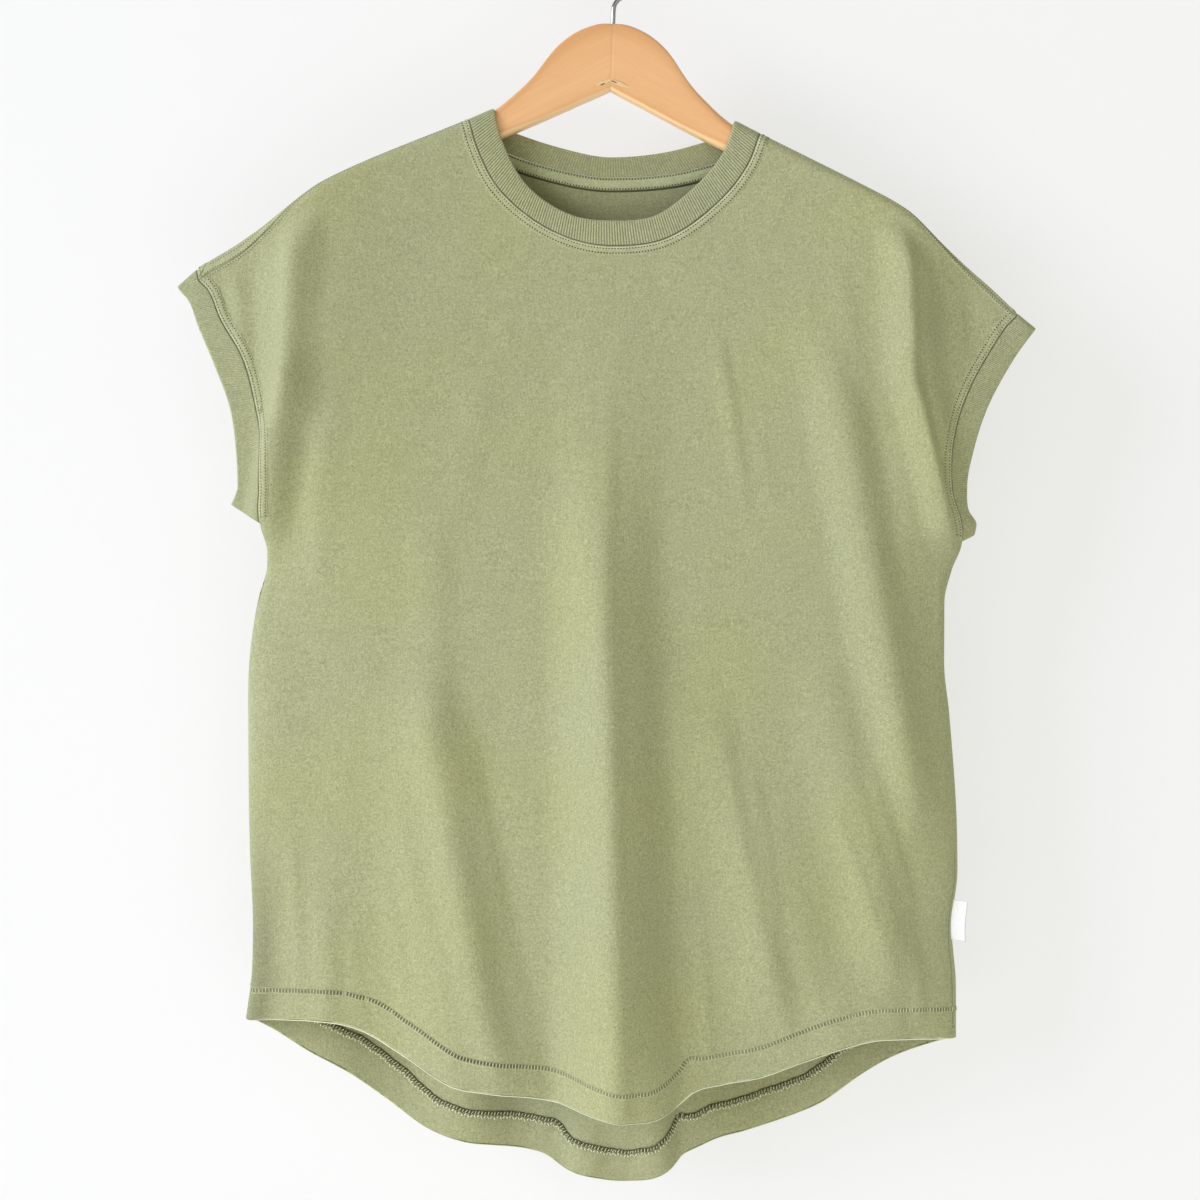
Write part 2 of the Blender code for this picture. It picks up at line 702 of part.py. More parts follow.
def rounded_section(top, height, corner):
    """Points round the hanger's section: y and z of a bar with rounded edges."""
    half = HANGER_HALF_THICKNESS
    corner = min(corner, half, height / 2)
    corners = (
        (half - corner, top - corner, 0),
        (corner - half, top - corner, 90),
        (corner - half, top - height + corner, 180),
        (half - corner, top - height + corner, 270),
    )
    points = []
    for y, z, start in corners:
        for turn in (3, 30, 60, 87):
            a = math.radians(start + turn)
            points.append((y + corner * math.cos(a), z + corner * math.sin(a)))
    return points


def build_hanger(made):
    drop_at = curve_through(column(WOOD, "x"), column(WOOD, "drop"))
    height_at = curve_through(column(WOOD, "x"), column(WOOD, "height"))
    corner_at = curve_through(column(WOOD, "x"), column(WOOD, "corner"))
    sections = []
    for x in [-x for x in reversed(WOOD_STATIONS[1:])] + WOOD_STATIONS:
        reach = abs(x)
        forward = -HANGER_FORWARD * (reach / HANGER_END) ** 2
        top = -PEAK_DROP - float(drop_at(reach))
        pairs = rounded_section(top, float(height_at(reach)), float(corner_at(reach)))
        sections.append([(x, y + forward, z) for y, z in pairs])
    body = add_object("hanger_body", *tube_mesh(tilted(np.array(sections)), False), made)

    radius = (WIRE_DIAMETER / 2 + STEM_CLEARANCE) * MM
    depth = (2 * STEM_DEPTH + 0.6) * MM
    bpy.ops.mesh.primitive_cylinder_add(vertices=16, radius=radius, depth=depth)
    cutter = bpy.context.object
    cutter.name = "stem_hole"
    cutter.location = (tilted(np.array([0.0, 0.0, -PEAK_DROP])) * MM).tolist()
    cutter.rotation_euler = (0, HANGER_TILT, 0)
    cut = body.modifiers.new("hole", "BOOLEAN")
    cut.operation = "DIFFERENCE"
    cut.solver = "EXACT"
    cut.object = cutter
    bpy.context.view_layer.update()
    seen = body.evaluated_get(bpy.context.evaluated_depsgraph_get())
    mesh = bpy.data.meshes.new_from_object(seen)
    body.modifiers.clear()
    body.data = mesh
    bpy.data.objects.remove(cutter)
    return body


def hook_path():
    """The wire's middle line: stem, swing to the right, round over the crown and a short tail."""
    radius = HOOK_INNER_RADIUS + WIRE_DIAMETER / 2
    start, end = math.radians(-52), math.radians(205)
    stem_top = np.array([0.0, -52.0])
    join = radius * np.array([math.cos(start), math.sin(start)]) - np.array([0, HOOK_INNER_RADIUS])
    leave = np.array([0.0, 9.0])
    arrive = 8.0 * np.array([-math.sin(start), math.cos(start)])
    path = [np.array([0.0, 0.6 - PEAK_DROP - STEM_DEPTH]), np.array([0.0, -64.0]), np.array([0.0, -57.0])]
    for t in np.linspace(0, 1, 9):
        first = (1 - t) ** 3 * stem_top + 3 * (1 - t) ** 2 * t * (stem_top + leave)
        path.append(first + 3 * (1 - t) * t * t * (join - arrive) + t**3 * join)
    for angle in np.linspace(start, end, 33)[1:]:
        path.append(np.array([radius * math.cos(angle), radius * math.sin(angle) - HOOK_INNER_RADIUS]))
    return np.array(path)


def build_hook(made):
    path = hook_path()
    ahead = unit(np.gradient(path, axis=0))
    path = np.concatenate([path, path[-1:] + ahead[-1:] * 0.9, path[-1:] + ahead[-1:] * 1.4])
    ahead = np.concatenate([ahead, ahead[-1:], ahead[-1:]])
    radii = np.full(len(path), WIRE_DIAMETER / 2)
    radii[-2:] *= (0.8, 0.4)
    sections = []
    for centre, way, radius in zip(path, ahead, radii):
        ring = []
        for k in range(WIRE_SIDES):
            a = 2 * math.pi * k / WIRE_SIDES
            out = radius * math.cos(a)
            ring.append((centre[0] - out * way[1], radius * math.sin(a), centre[1] + out * way[0]))
        sections.append(ring)
    return add_object("hanger_hook", *tube_mesh(tilted(np.array(sections)), False), made)


def main():
    for thing in list(bpy.data.objects):
        bpy.data.objects.remove(thing)
    jersey = material("jersey", (0.42, 0.42, 0.24), 0.9)
    rib = material("rib_knit", (0.38, 0.39, 0.22), 0.92)
    tape = material("tape_cloth", (0.36, 0.37, 0.21), 0.92)
    label = material("label_tape", (0.86, 0.86, 0.84), 0.8)
    wood = material("hanger_wood", (0.83, 0.48, 0.22), 0.4)
    steel = material("hook_steel", (0.75, 0.75, 0.76), 0.2, 1.0)

    grids = {layer: panel_grid(layer) for layer in (-1, 1)}
    outer = {layer: place(layer, grid[..., 0], grid[..., 1]) for layer, grid in grids.items()}
    for k in (0, -1):
        shared = 0.5 * (outer[-1][ARMHOLE_ROWS:, k] + outer[1][ARMHOLE_ROWS:, k])
        outer[-1][ARMHOLE_ROWS:, k] = shared
        outer[1][ARMHOLE_ROWS:, k] = shared
    normals = {layer: panel_normals(layer, grids[layer], outer[layer]) for layer in (-1, 1)}
    build_panel("front_panel", -1, outer[-1], normals[-1], jersey)
    build_panel("back_panel", 1, outer[1], normals[1], jersey)
    build_neck_band(grids, normals, rib)
    build_arm_band("arm_band_left", grids, normals, ARM_LEFT, 0, rib)
    build_arm_band("arm_band_right", grids, normals, ARM_RIGHT, -1, rib)
    build_tape(grids, tape)
    build_label(outer[-1][ARMHOLE_ROWS:, -1], label)
    build_hanger(wood)
    build_hook(steel)


main()
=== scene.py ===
import math
from collections import namedtuple

import bpy
import numpy as np
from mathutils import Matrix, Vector


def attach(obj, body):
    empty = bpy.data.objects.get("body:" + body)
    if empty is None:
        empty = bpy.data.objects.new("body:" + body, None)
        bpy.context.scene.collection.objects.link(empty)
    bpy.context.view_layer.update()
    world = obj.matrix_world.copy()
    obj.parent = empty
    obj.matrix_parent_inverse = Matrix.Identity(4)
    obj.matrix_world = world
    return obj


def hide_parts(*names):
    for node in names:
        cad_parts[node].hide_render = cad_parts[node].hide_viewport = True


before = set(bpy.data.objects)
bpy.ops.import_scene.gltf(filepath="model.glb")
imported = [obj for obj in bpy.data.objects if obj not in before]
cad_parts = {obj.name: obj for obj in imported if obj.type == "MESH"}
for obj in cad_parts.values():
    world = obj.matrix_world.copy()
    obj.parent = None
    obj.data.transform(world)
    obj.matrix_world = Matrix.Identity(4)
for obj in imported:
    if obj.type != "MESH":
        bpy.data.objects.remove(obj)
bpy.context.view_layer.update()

MM = 0.001

# Sizes, in millimetres
# The same named sizes and tables as the solids, laid out more finely.
JERSEY_WALL = 1.2
RIB_WALL = 1.6
HEM_WALL = 2.1
HEM_HEIGHT = 20.0
HEM_STEP = 0.9
SEAM_GAP = 0.3
RIB_PITCH = 1.85
ARM_RIB_PITCH = 1.25
STITCH_PITCH = 2.05
LADDER_PITCH = 2.3

HANGER_TILT = math.radians(2.1)
PEAK_DROP = 62.0
PEAK_X = -PEAK_DROP * math.sin(HANGER_TILT)
HANGER_HALF_THICKNESS = 5.6
HANGER_FORWARD = 14.0
HANGER_END = 204.0
STEM_DEPTH = 14.0
WIRE_DIAMETER = 3.4
HOOK_INNER_RADIUS = 20.0

LABEL_HEIGHT = 28.0
LABEL_REACH = 10.0
LABEL_TOP = -673.0

SHOULDER_COLUMNS = 56
NECK_COLUMNS = 78
NECK_CROWDING = 0.7
ARMHOLE_ROWS = 62
ARMHOLE_CROWDING = (0.7, 1.0)
SIDE_ROWS = 136
SIDE_REACH = 4
TIP_DROP = 3.0
HEM_SHARES = (0.14, 0.28, 0.42, 0.56, 0.70, 0.82, 0.91, 0.96, 1.0)
HEM_ROWS = len(HEM_SHARES)
ARMHOLE_SHARE = 0.32
FOLD_ANGLES = (90, 60, 30, 0, -30, -60, -90)
# Pale on the hem's folded edge: partly worn pale of the garment dye, partly painted highlight on the fold's
# underside, which faces down.
FOLD_FROST_AND_HIGHLIGHT = (0.95, 1.0, 1.0, 1.0, 0.8, 0.5, 0.2)
SEAM_PALE = 0.12
# Painted shade: a little over the whole inside, which is also the darker purl side, more on the inside
# below the neck, and along the lower side edges.
INSIDE_SHADE = 0.05
NECK_SHADE = 0.27
SIDE_SHADE = 0.26
STORAGE_DEPTH = 0.35
STORAGE_WIDTH = 2.2
BEAD_SIDES = 6

Point = namedtuple("Point", "x z")
CrownRow = namedtuple("CrownRow", "x z seam_drop")
BandRow = namedtuple("BandRow", "seam_x seam_z edge_x edge_z")
GapRow = namedtuple("GapRow", "z front back")
Fold = namedtuple(
    "Fold", "x_top z_top x_bottom z_bottom left_width right_width rise_top rise_bottom"
)
WoodRow = namedtuple("WoodRow", "x drop height corner")


def rows_of(kind, *rows):
    return [kind(*row) for row in rows]


CROWN = rows_of(
    CrownRow,
    (-303, -247.0, 9.0), (-287, -233.5, 9.0), (-260, -217.0, 9.6), (-236, -200.5, 6.0),
    (-220, -188.0, 2.0), (-203, -176.0, 0.7), (-180, -163.7, 0.5), (-100, -128.8, 0.5), (-20, -93.8, 0.5),
    (0, -88.0, 0.5), (20, -95.6, 0.5), (100, -137.8, 0.5), (175, -177.4, 0.5), (194, -188.2, 0.6),
    (207, -197.5, 1.0), (227, -217.0, 2.6), (245, -233.5, 3.6), (264, -250.0, 4.0), (282, -266.5, 4.0),
    (294, -276.0, 4.0),
)
ROLL_RADIUS_AT_HANGER = 8.6
ROLL_RADIUS_AT_CAP = 4.2

NECK_FRONT = rows_of(
    BandRow,
    (-101, -129.5, -84, -122.5), (-94, -151.0, -78, -143.0), (-79, -179.0, -60, -176.0),
    (-40, -209.0, -29, -197.0), (-1, -218.5, -1, -201.0), (36, -213.5, 28, -198.0),
    (74, -187.0, 55, -179.0), (93, -163.0, 77, -153.0), (103, -139.8, 86, -130.5),
)
NECK_BACK = rows_of(
    BandRow,
    (-101, -129.5, -84, -122.5), (-94, -139.5, -80, -131.5), (-79, -148.0, -66, -137.0),
    (-45, -159.5, -37, -146.0), (-1, -166.5, -1, -152.5), (44, -163.5, 38, -149.0),
    (80, -154.5, 66, -142.0), (97, -148.5, 82, -138.5), (103, -139.8, 86, -130.5),
)
ARM_LEFT = rows_of(
    BandRow,
    (-287, -241.0, -301, -250.0), (-280, -250.0, -294, -257.0), (-272, -269.0, -288, -273.0),
    (-256, -297.0, -276, -301.0), (-247, -330.0, -265, -331.0), (-243, -357.0, -261, -358.0),
    (-243, -388.0, -260, -385.0), (-244, -401.0, -262, -392.0), (-244, -411.0, -265, -398.0),
)
ARM_RIGHT = rows_of(
    BandRow,
    (279, -268.0, 292, -278.0), (272, -275.0, 286, -285.0), (264, -287.0, 277, -298.0),
    (248, -315.0, 259, -331.0), (238, -341.0, 250, -358.0), (233, -370.0, 245, -386.0),
    (234, -390.0, 246, -401.0), (241, -410.0, 252, -412.0), (243, -423.0, 251, -419.0),
)
SIDE_LEFT = rows_of(
    Point,
    (-244, -411), (-240, -430), (-241, -445), (-247, -466), (-253, -506), (-254, -560), (-253, -633),
    (-250, -690), (-251, -730), (-255, -756),
)
SIDE_RIGHT = rows_of(
    Point,
    (243, -423), (236, -443), (231, -466), (231, -506), (235, -545), (240, -612), (241, -653),
    (237, -692), (240, -735), (240, -771),
)
HEM_FRONT = rows_of(
    Point,
    (-255, -754.5), (-202, -754.0), (-175, -760.0), (-145, -777.0), (-112, -795.0), (-85, -800.5),
    (-55, -805.0), (-35, -809.5), (-16, -814.0), (8, -818.0), (29, -817.0), (44, -810.5), (56, -801.5),
    (75, -797.0), (103, -792.0), (131, -782.0), (159, -772.5), (187, -767.5), (240, -770.0),
)
HEM_BACK = rows_of(
    Point,
    (-255, -754.5), (-218, -780.0), (-190, -796.0), (-162, -817.0), (-134, -837.0), (-106, -847.0),
    (-85, -850.5), (-60, -855.0), (-48, -858.5), (-35, -867.0), (-15, -873.0), (5, -876.5), (28, -874.0),
    (40, -868.0), (50, -858.5), (62, -852.5), (75, -847.0), (95, -842.0), (120, -833.0), (146, -821.0),
    (174, -800.5), (202, -785.0), (240, -770.0),
)
GAPS = rows_of(
    GapRow,
    (-80, 9.0, 9.0), (-200, 11.0, 11.0), (-300, 14.0, 13.0), (-420, 18.0, 16.0), (-560, 22.0, 18.0),
    (-700, 24.0, 20.0), (-880, 26.0, 22.0),
)
CAP_GAP = 9.0
GAP_RUN = 120.0
SLEEVE_GAP_SHARE = 0.72

FOLDS_SHARED = rows_of(
    Fold,
    (-3, -290, 8, -900, 52, 40, 3, 31), (-132, -470, -92, -900, 52, 44, 2, 16),
    (182, -400, 228, -640, 36, 26, 3, 9), (72, -500, 140, -760, 44, 34, 2, 10),
    (140, -480, 205, -760, 36, 28, 2, 8), (-205, -560, -196, -900, 40, 40, 1, 7),
    (150, -700, 176, -900, 40, 36, 1, 7),
)
FOLDS_FRONT = rows_of(
    Fold,
    (-226, -176, -238, -480, 20, 22, 5, 5), (203, -184, 212, -318, 24, 22, 5, 11),
    (212, -290, 238, -440, 26, 20, 8, 9),
)
FOLDS_BACK = rows_of(
    Fold,
    (-216, -200, -228, -520, 26, 24, -4, -7), (206, -215, 216, -500, 28, 26, -4, -8),
    (-60, -330, -72, -900, 40, 46, -1, -9), (88, -360, 96, -900, 44, 40, -1, -8),
)

# Creases that only the fine cloth has. A rise stands towards the front.
CREASES_FRONT = rows_of(
    Fold,
    (2, -262, -10, -560, 6, 3.5, 1.3, 1.0), (-13, -300, -1, -900, 30, 20, 3.0, 7.0),
    (-24, -690, -20, -900, 18, 24, 0, 8), (34, -690, 34, -900, 24, 15, 0, 9),
    (-218, -170, -226, -350, 14, 24, 8.0, 8.4), (-221, -280, -258, -460, 12, 30, 9.0, 10.5),
    (-6, -212, -6, -640, 44, 58, 1.8, 2.8), (-200, -160, -205, -340, 30, 70, 2.6, 2.6),
    (199, -176, 206, -334, 24, 7, 4.6, 5.6), (199, -286, 240, -444, 22, 6, 4.8, 5.2),
    (142, -250, 214, -655, 30, 26, 7.4, 10.0), (182, -400, 228, -640, 36, 26, -1.5, -4.5),
    (-250, -430, -250, -820, 10, 50, 4.5, 7.5), (-257, -620, -259, -860, 6, 24, 2.0, 12.0),
    (-124, -390, -126, -600, 26, 22, 2.2, 2.4), (-136, -490, -56, -860, 28, 32, 3.8, 10.0),
    (3, -420, 12, -900, 36, 78, 2.0, 8.0), (178, -650, 196, -800, 34, 20, 0.5, 3.0),
    (72, -500, 140, -760, 44, 34, -1.5, -6.0), (58, -500, 122, -790, 40, 20, 2.2, 6.6),
    (-198, -650, -198, -810, 15, 15, 1.4, 2.4), (-273, -234, -265, -268, 4, 3, -1.0, -0.7),
    (-5, -420, 0, -700, 20, 12, 1.2, 1.6), (70, -260, 93, -412, 10, 8, 0.9, 0.9),
    (100, -345, 110, -400, 8, 6, 0.5, 0.6), (66, -280, 84, -350, 14, 11, 0.5, 0.5),
    (-88, -290, -112, -440, 20, 16, 0.8, 0.7), (-112, -560, -62, -800, 20, 14, -1.4, -2.0),
    (-150, -600, -128, -700, 12, 9, 0.8, 0.9), (-160, -640, -140, -760, 10, 8, 0.6, 0.8),
    (-14, -660, -8, -700, 6, 5, 0.8, 0.9), (-20, -690, -2, -715, 5, 4, 0.6, 0.6),
    (92, -560, 116, -700, 10, 7, 1.2, 0.9), (150, -600, 188, -710, 9, 7, 1.2, 0.9),
    (170, -560, 212, -690, 9, 7, 0.8, 0.9), (108, -722, 150, -745, 7, 5, 0.9, 0.8),
    (120, -735, 172, -752, 6, 4, 0.7, 0.6), (150, -726, 190, -748, 6, 5, 0.7, 0.7),
    (224, -210, 234, -258, 6, 5, 1.0, 0.8), (262, -240, 266, -290, 7, 6, 1.2, 0.9),
    (244, -230, 250, -300, 8, 7, -1.0, -0.7), (-262, -232, -254, -300, 8, 6, 1.3, 0.8),
    (-248, -228, -244, -330, 8, 7, -1.0, -0.8), (-252, -300, -240, -370, 5, 5, 0.7, 0.5),
    (-168, -152, -120, -200, 20, 16, 0.8, 0.5), (150, -220, 178, -330, 14, 10, 0.9, 1.1),
    (-190, -300, -204, -470, 16, 12, 0.7, 0.9), (-236, -430, -246, -500, 6, 6, 0.9, 0.6),
    (226, -440, 230, -520, 6, 5, 0.8, 0.7), (-222, -620, -214, -748, 9, 7, 0.8, 0.9),
    (-180, -690, -172, -760, 8, 6, 0.7, 0.8), (40, -560, 52, -740, 14, 12, -0.8, -1.2),
    (60, -690, 66, -790, 10, 8, 0.8, 1.0), (208, -700, 214, -765, 9, 7, 0.8, 0.8),
)
CREASES_BACK = rows_of(
    Fold,
    (-257, -620, -259, -860, 6, 24, 1.0, 6.0), (-250, -430, -250, -820, 10, 50, 2.2, 3.6),
    (-24, -690, -20, -900, 18, 24, 0, 8), (34, -690, 34, -900, 24, 15, 0, 9),
    (-8, -240, -14, -420, 12, 10, -0.9, -0.8), (60, -280, 84, -400, 12, 9, -0.9, -0.7),
    (-90, -280, -112, -420, 12, 10, -1.0, -0.8), (-150, -380, -170, -560, 14, 11, -0.9, -1.1),
    (150, -400, 176, -560, 14, 10, -1.0, -0.9), (-20, -560, -6, -800, 20, 16, 1.2, 1.8),
    (30, -600, 40, -840, 16, 13, -1.1, -1.4), (-124, -600, -132, -820, 13, 11, -1.1, -1.3),
    (148, -620, 158, -800, 14, 10, -1.0, -1.3), (-200, -640, -196, -770, 10, 8, -0.9, -0.9),
    (200, -640, 204, -770, 10, 8, -0.9, -0.8), (250, -250, 240, -330, 9, 8, -1.1, -0.8),
    (-262, -245, -250, -340, 9, 8, -1.2, -0.8), (-228, -430, -236, -520, 8, 7, -0.8, -0.6),
    (222, -440, 228, -540, 8, 7, -0.9, -0.6),
)
# The faint line where the folded shirt lay, as x and z across the front.
STORAGE_LINE = rows_of(
    Point,
    (-225, -464), (-150, -463), (-60, -466), (60, -471), (175, -470),
)

WOOD = rows_of(
    WoodRow,
    (0, 0.0, 45.8, 2.2), (9, 0.5, 49.8, 2.2), (17, 2.9, 51.3, 2.3), (25.5, 7.0, 51.4, 2.4),
    (32.5, 12.0, 49.9, 2.5), (39, 18.2, 46.9, 2.5), (44.5, 25.2, 42.7, 2.5), (49, 31.8, 38.3, 2.5),
    (54, 38.6, 34.0, 2.8), (60, 45.4, 30.2, 3.2), (67, 52.1, 26.9, 3.8), (73, 57.6, 24.4, 4.4),
    (80, 63.2, 22.3, 5.2), (86, 67.4, 21.0, 5.4), (101, 75.0, 20.4, 5.5), (150, 98.8, 20.0, 5.5),
    (186, 117.0, 19.6, 5.5), (194, 122.2, 18.4, 5.5), (201, 128.2, 14.0, 5.4), (204, 132.0, 9.5, 4.4),
)


# The cloth's shape
def curve_through(keys, values):
    """A smooth curve through the rows of a table, straight beyond its ends."""
    keys = np.asarray(keys, float)
    values = np.asarray(values, float)
    steps = np.diff(values) / np.diff(keys)
    slopes = np.concatenate([[steps[0]], 0.5 * (steps[:-1] + steps[1:]), [steps[-1]]])
    turning = np.concatenate([[False], steps[:-1] * steps[1:] <= 0, [False]])
    slopes = np.where(turning, 0.0, slopes)

    def at(key):
        key = np.asarray(key, float)
        i = np.clip(np.searchsorted(keys, key) - 1, 0, len(keys) - 2)
        span = keys[i + 1] - keys[i]
        t = np.clip((key - keys[i]) / span, 0, 1)
        value = values[i] * (1 + 2 * t) * (1 - t) ** 2 + values[i + 1] * t * t * (3 - 2 * t)
        value = value + slopes[i] * span * t * (1 - t) ** 2
        value = value + slopes[i + 1] * span * t * t * (t - 1)
        before = np.minimum(key - keys[0], 0) * slopes[0]
        after = np.maximum(key - keys[-1], 0) * slopes[-1]
        return value + before + after

    return at


def ease(t):
    t = np.clip(t, 0, 1)
    return t * t * (3 - 2 * t)


def column(table, name):
    return [getattr(row, name) for row in table]


def curve_of(table, key, value):
    return curve_through(column(table, key), column(table, value))


def outer_side(arm, side):
    rows = [(-row.seam_z, row.seam_x) for row in arm[:-1]]
    rows += [(-row.z, row.x) for row in side]
    return curve_through([row[0] for row in rows], [row[1] for row in rows])


crown_height = curve_of(CROWN, "x", "z")
seam_drop = curve_of(CROWN, "x", "seam_drop")
front_gap = curve_through([-row.z for row in GAPS], column(GAPS, "front"))
back_gap = curve_through([-row.z for row in GAPS], column(GAPS, "back"))
left_side = outer_side(ARM_LEFT, SIDE_LEFT)
right_side = outer_side(ARM_RIGHT, SIDE_RIGHT)
storage_line = curve_of(STORAGE_LINE, "x", "z")
hem_front_at = curve_of(HEM_FRONT, "x", "z")
hem_back_at = curve_of(HEM_BACK, "x", "z")


def roll_radius(x):
    away = ease((np.abs(x) - 212) / 40)
    tip = 1.5 * ease((np.abs(x) - 282) / 20)
    return ROLL_RADIUS_AT_HANGER + (ROLL_RADIUS_AT_CAP - ROLL_RADIUS_AT_HANGER) * away - tip


def crown_depth(x):
    reach = np.minimum(np.abs(x) / HANGER_END, 1)
    past = np.maximum(np.abs(x) - HANGER_END, 0)
    return -HANGER_FORWARD * reach * reach + 0.05 * past


def fold_sum(folds, x, z):
    """Rise of the cloth towards the front from a table of folds."""
    total = np.zeros(np.broadcast(x, z).shape)
    for fold in folds:
        share = (fold.z_top - z) / (fold.z_top - fold.z_bottom)
        crest = fold.x_top + (fold.x_bottom - fold.x_top) * share
        rise = fold.rise_top + (fold.rise_bottom - fold.rise_top) * np.clip(share, 0, 1)
        rise = rise * ease(share / 0.25) * ease((1 - share) / 0.25)
        across = x - crest
        width = np.where(across < 0, fold.left_width, fold.right_width)
        near = np.clip(np.abs(across) / width, 0, 1)
        total = total + rise * 0.5 * (1 + np.cos(math.pi * near))
    return total


def ripple(x, z, seed):
    """The cloth's own slight unevenness, under half a millimetre."""
    a = np.sin(x * 0.071 + 1.3 * seed + 1.9 * np.sin(z * 0.013 + seed))
    b = np.sin(z * 0.041 + 2.1 * seed + 1.6 * np.sin(x * 0.023 - seed))
    c = np.sin(x * 0.19 + z * 0.05 + seed) * np.sin(z * 0.09 - x * 0.03 + 2 * seed)
    return 0.22 * a * b + 0.10 * c


def pucker(x, z, hem_z, phase):
    """Small slanted puckers along the hem's stitching."""
    above = z - hem_z
    near = np.exp(-(((above - 17) / 9) ** 2))
    wave = np.sin(x * 0.42 - above * 0.22 + phase + 1.4 * np.sin(x * 0.05 + phase))
    return 0.34 * near * wave * (0.6 + 0.4 * np.sin(x * 0.031 + phase))


def sway(x, z):
    fade = 1 - ease((-z - 150) / 550)
    return crown_depth(x) * fade - fold_sum(FOLDS_SHARED, x, z)


def side_closing(x, z):
    edge = np.where(x < 0, left_side(-z), right_side(-z))
    underarm = np.where(x < 0, ARM_LEFT[-1].seam_z, ARM_RIGHT[-1].seam_z)
    above = np.clip((z - underarm) / 50, 0, 1)
    at_edge = SLEEVE_GAP_SHARE * np.sqrt(1 - (1 - above) ** 2)
    reach = np.clip(np.abs(x / edge), 0, 1)
    closing = np.maximum(1 - reach**3.2, 0) ** (0.5 + 0.5 * ease(above))
    return at_edge + (1 - at_edge) * closing


def place(layer, x, run):
    """A point of the outer face. layer is -1 in front and 1 behind. run is the height before the
    cloth is rolled over the crown, so a run above the crown comes down on the other side."""
    x = np.asarray(x, float)
    run = np.asarray(run, float)
    radius = roll_radius(x)
    crown = crown_height(x)
    down = crown - run
    side = np.where(down < 0, -layer, layer)
    down = np.abs(down)
    angle = np.minimum(down / radius, math.pi / 2)
    past = np.maximum(down - radius * math.pi / 2, 0)
    z = crown - radius * (1 - np.cos(angle)) - past
    body_gap = np.where(side < 0, front_gap(-z), back_gap(-z))
    cap = ease((np.abs(x) - 200) / 50) * ease((z + 460) / 60)
    body_gap = body_gap + (CAP_GAP - body_gap) * cap
    gap = radius * np.sin(angle) + (body_gap - radius) * ease(past / GAP_RUN)
    closing = side_closing(x, z)
    settle = ease(past / 30)
    gap = gap * (1 + (closing - 1) * settle)
    own = np.where(side < 0, fold_sum(FOLDS_FRONT, x, z), fold_sum(FOLDS_BACK, x, z))
    front_crease = fold_sum(CREASES_FRONT, x, z) + ripple(x, z, 1.0)
    off_line = (z - storage_line(x)) / STORAGE_WIDTH
    front_crease = front_crease - STORAGE_DEPTH * np.exp(-(off_line**2))
    front_crease = front_crease + pucker(x, z, hem_front_at(x), 0.4)
    back_crease = fold_sum(CREASES_BACK, x, z) + ripple(x, z, 2.3)
    back_crease = back_crease + pucker(x, z, hem_back_at(x), 2.0)
    crease = np.where(side < 0, front_crease, back_crease)
    y = sway(x, z) + side * gap - own * closing * settle - crease * settle
    return np.stack([x + PEAK_X, y, z], axis=-1)


def unroll(x, z):
    radius = roll_radius(x)
    crown = crown_height(x)
    drop = np.maximum(crown - z, 0)
    near = radius * np.arccos(np.clip(1 - drop / radius, -1, 1))
    far = drop + radius * (math.pi / 2 - 1)
    return crown - np.where(drop < radius, near, far)


def roll_down(x, run):
    return run + roll_radius(x) * (math.pi / 2 - 1)


def spaced(count, crowd_start, crowd_end):
    t = np.linspace(0, 1, count + 1)
    start = t ** (1 + crowd_start)
    end = 1 - (1 - t) ** (1 + crowd_end)
    return start * (1 - ease(t)) + end * ease(t)


def along(points, shares):
    """Points at shares of the length of a smooth line through a short table of pairs."""
    points = np.asarray(points, float)
    lengths = np.concatenate([[0], np.cumsum(np.hypot(*np.diff(points, axis=0).T))])
    first = curve_through(lengths, points[:, 0])
    second = curve_through(lengths, points[:, 1])
    return np.stack([first(shares * lengths[-1]), second(shares * lengths[-1])], axis=-1)


def seam_run(layer, x):
    crown = crown_height(x)
    return crown + layer * (crown - unroll(x, crown - seam_drop(x)))


def band_line(table, edge):
    """The x and the run of a band's seam or free edge, from its table."""
    if edge:
        pairs = [(row.edge_x, row.edge_z) for row in table]
    else:
        pairs = [(row.seam_x, row.seam_z) for row in table]
    x, z = np.array(pairs, float).T
    return x, unroll(x, z)


def neck_line(layer, edge, shares):
    x, run = band_line(NECK_FRONT if layer < 0 else NECK_BACK, edge)
    for k in (0, -1):
        run[k] = crown_height(x[k]) if edge else seam_run(layer, x[k])
    return along(np.stack([x, run], axis=-1), shares)


def arm_line(layer, arm, edge, shares):
    x, run = band_line(arm, edge)
    first = seam_run(layer, x[0])
    if edge:
        crown = crown_height(x[0])
        first = crown + layer * (crown - unroll(x[0], crown - TIP_DROP))
    rows = np.stack([x, run], axis=-1)
    if layer < 0:
        rows[0, 1] = first
    else:
        outward_x = x[0] + 1.5 * np.sign(x[0])
        rows = np.concatenate([[(x[0], first), (outward_x, crown_height(outward_x))], rows[1:]])
    return along(rows, shares)


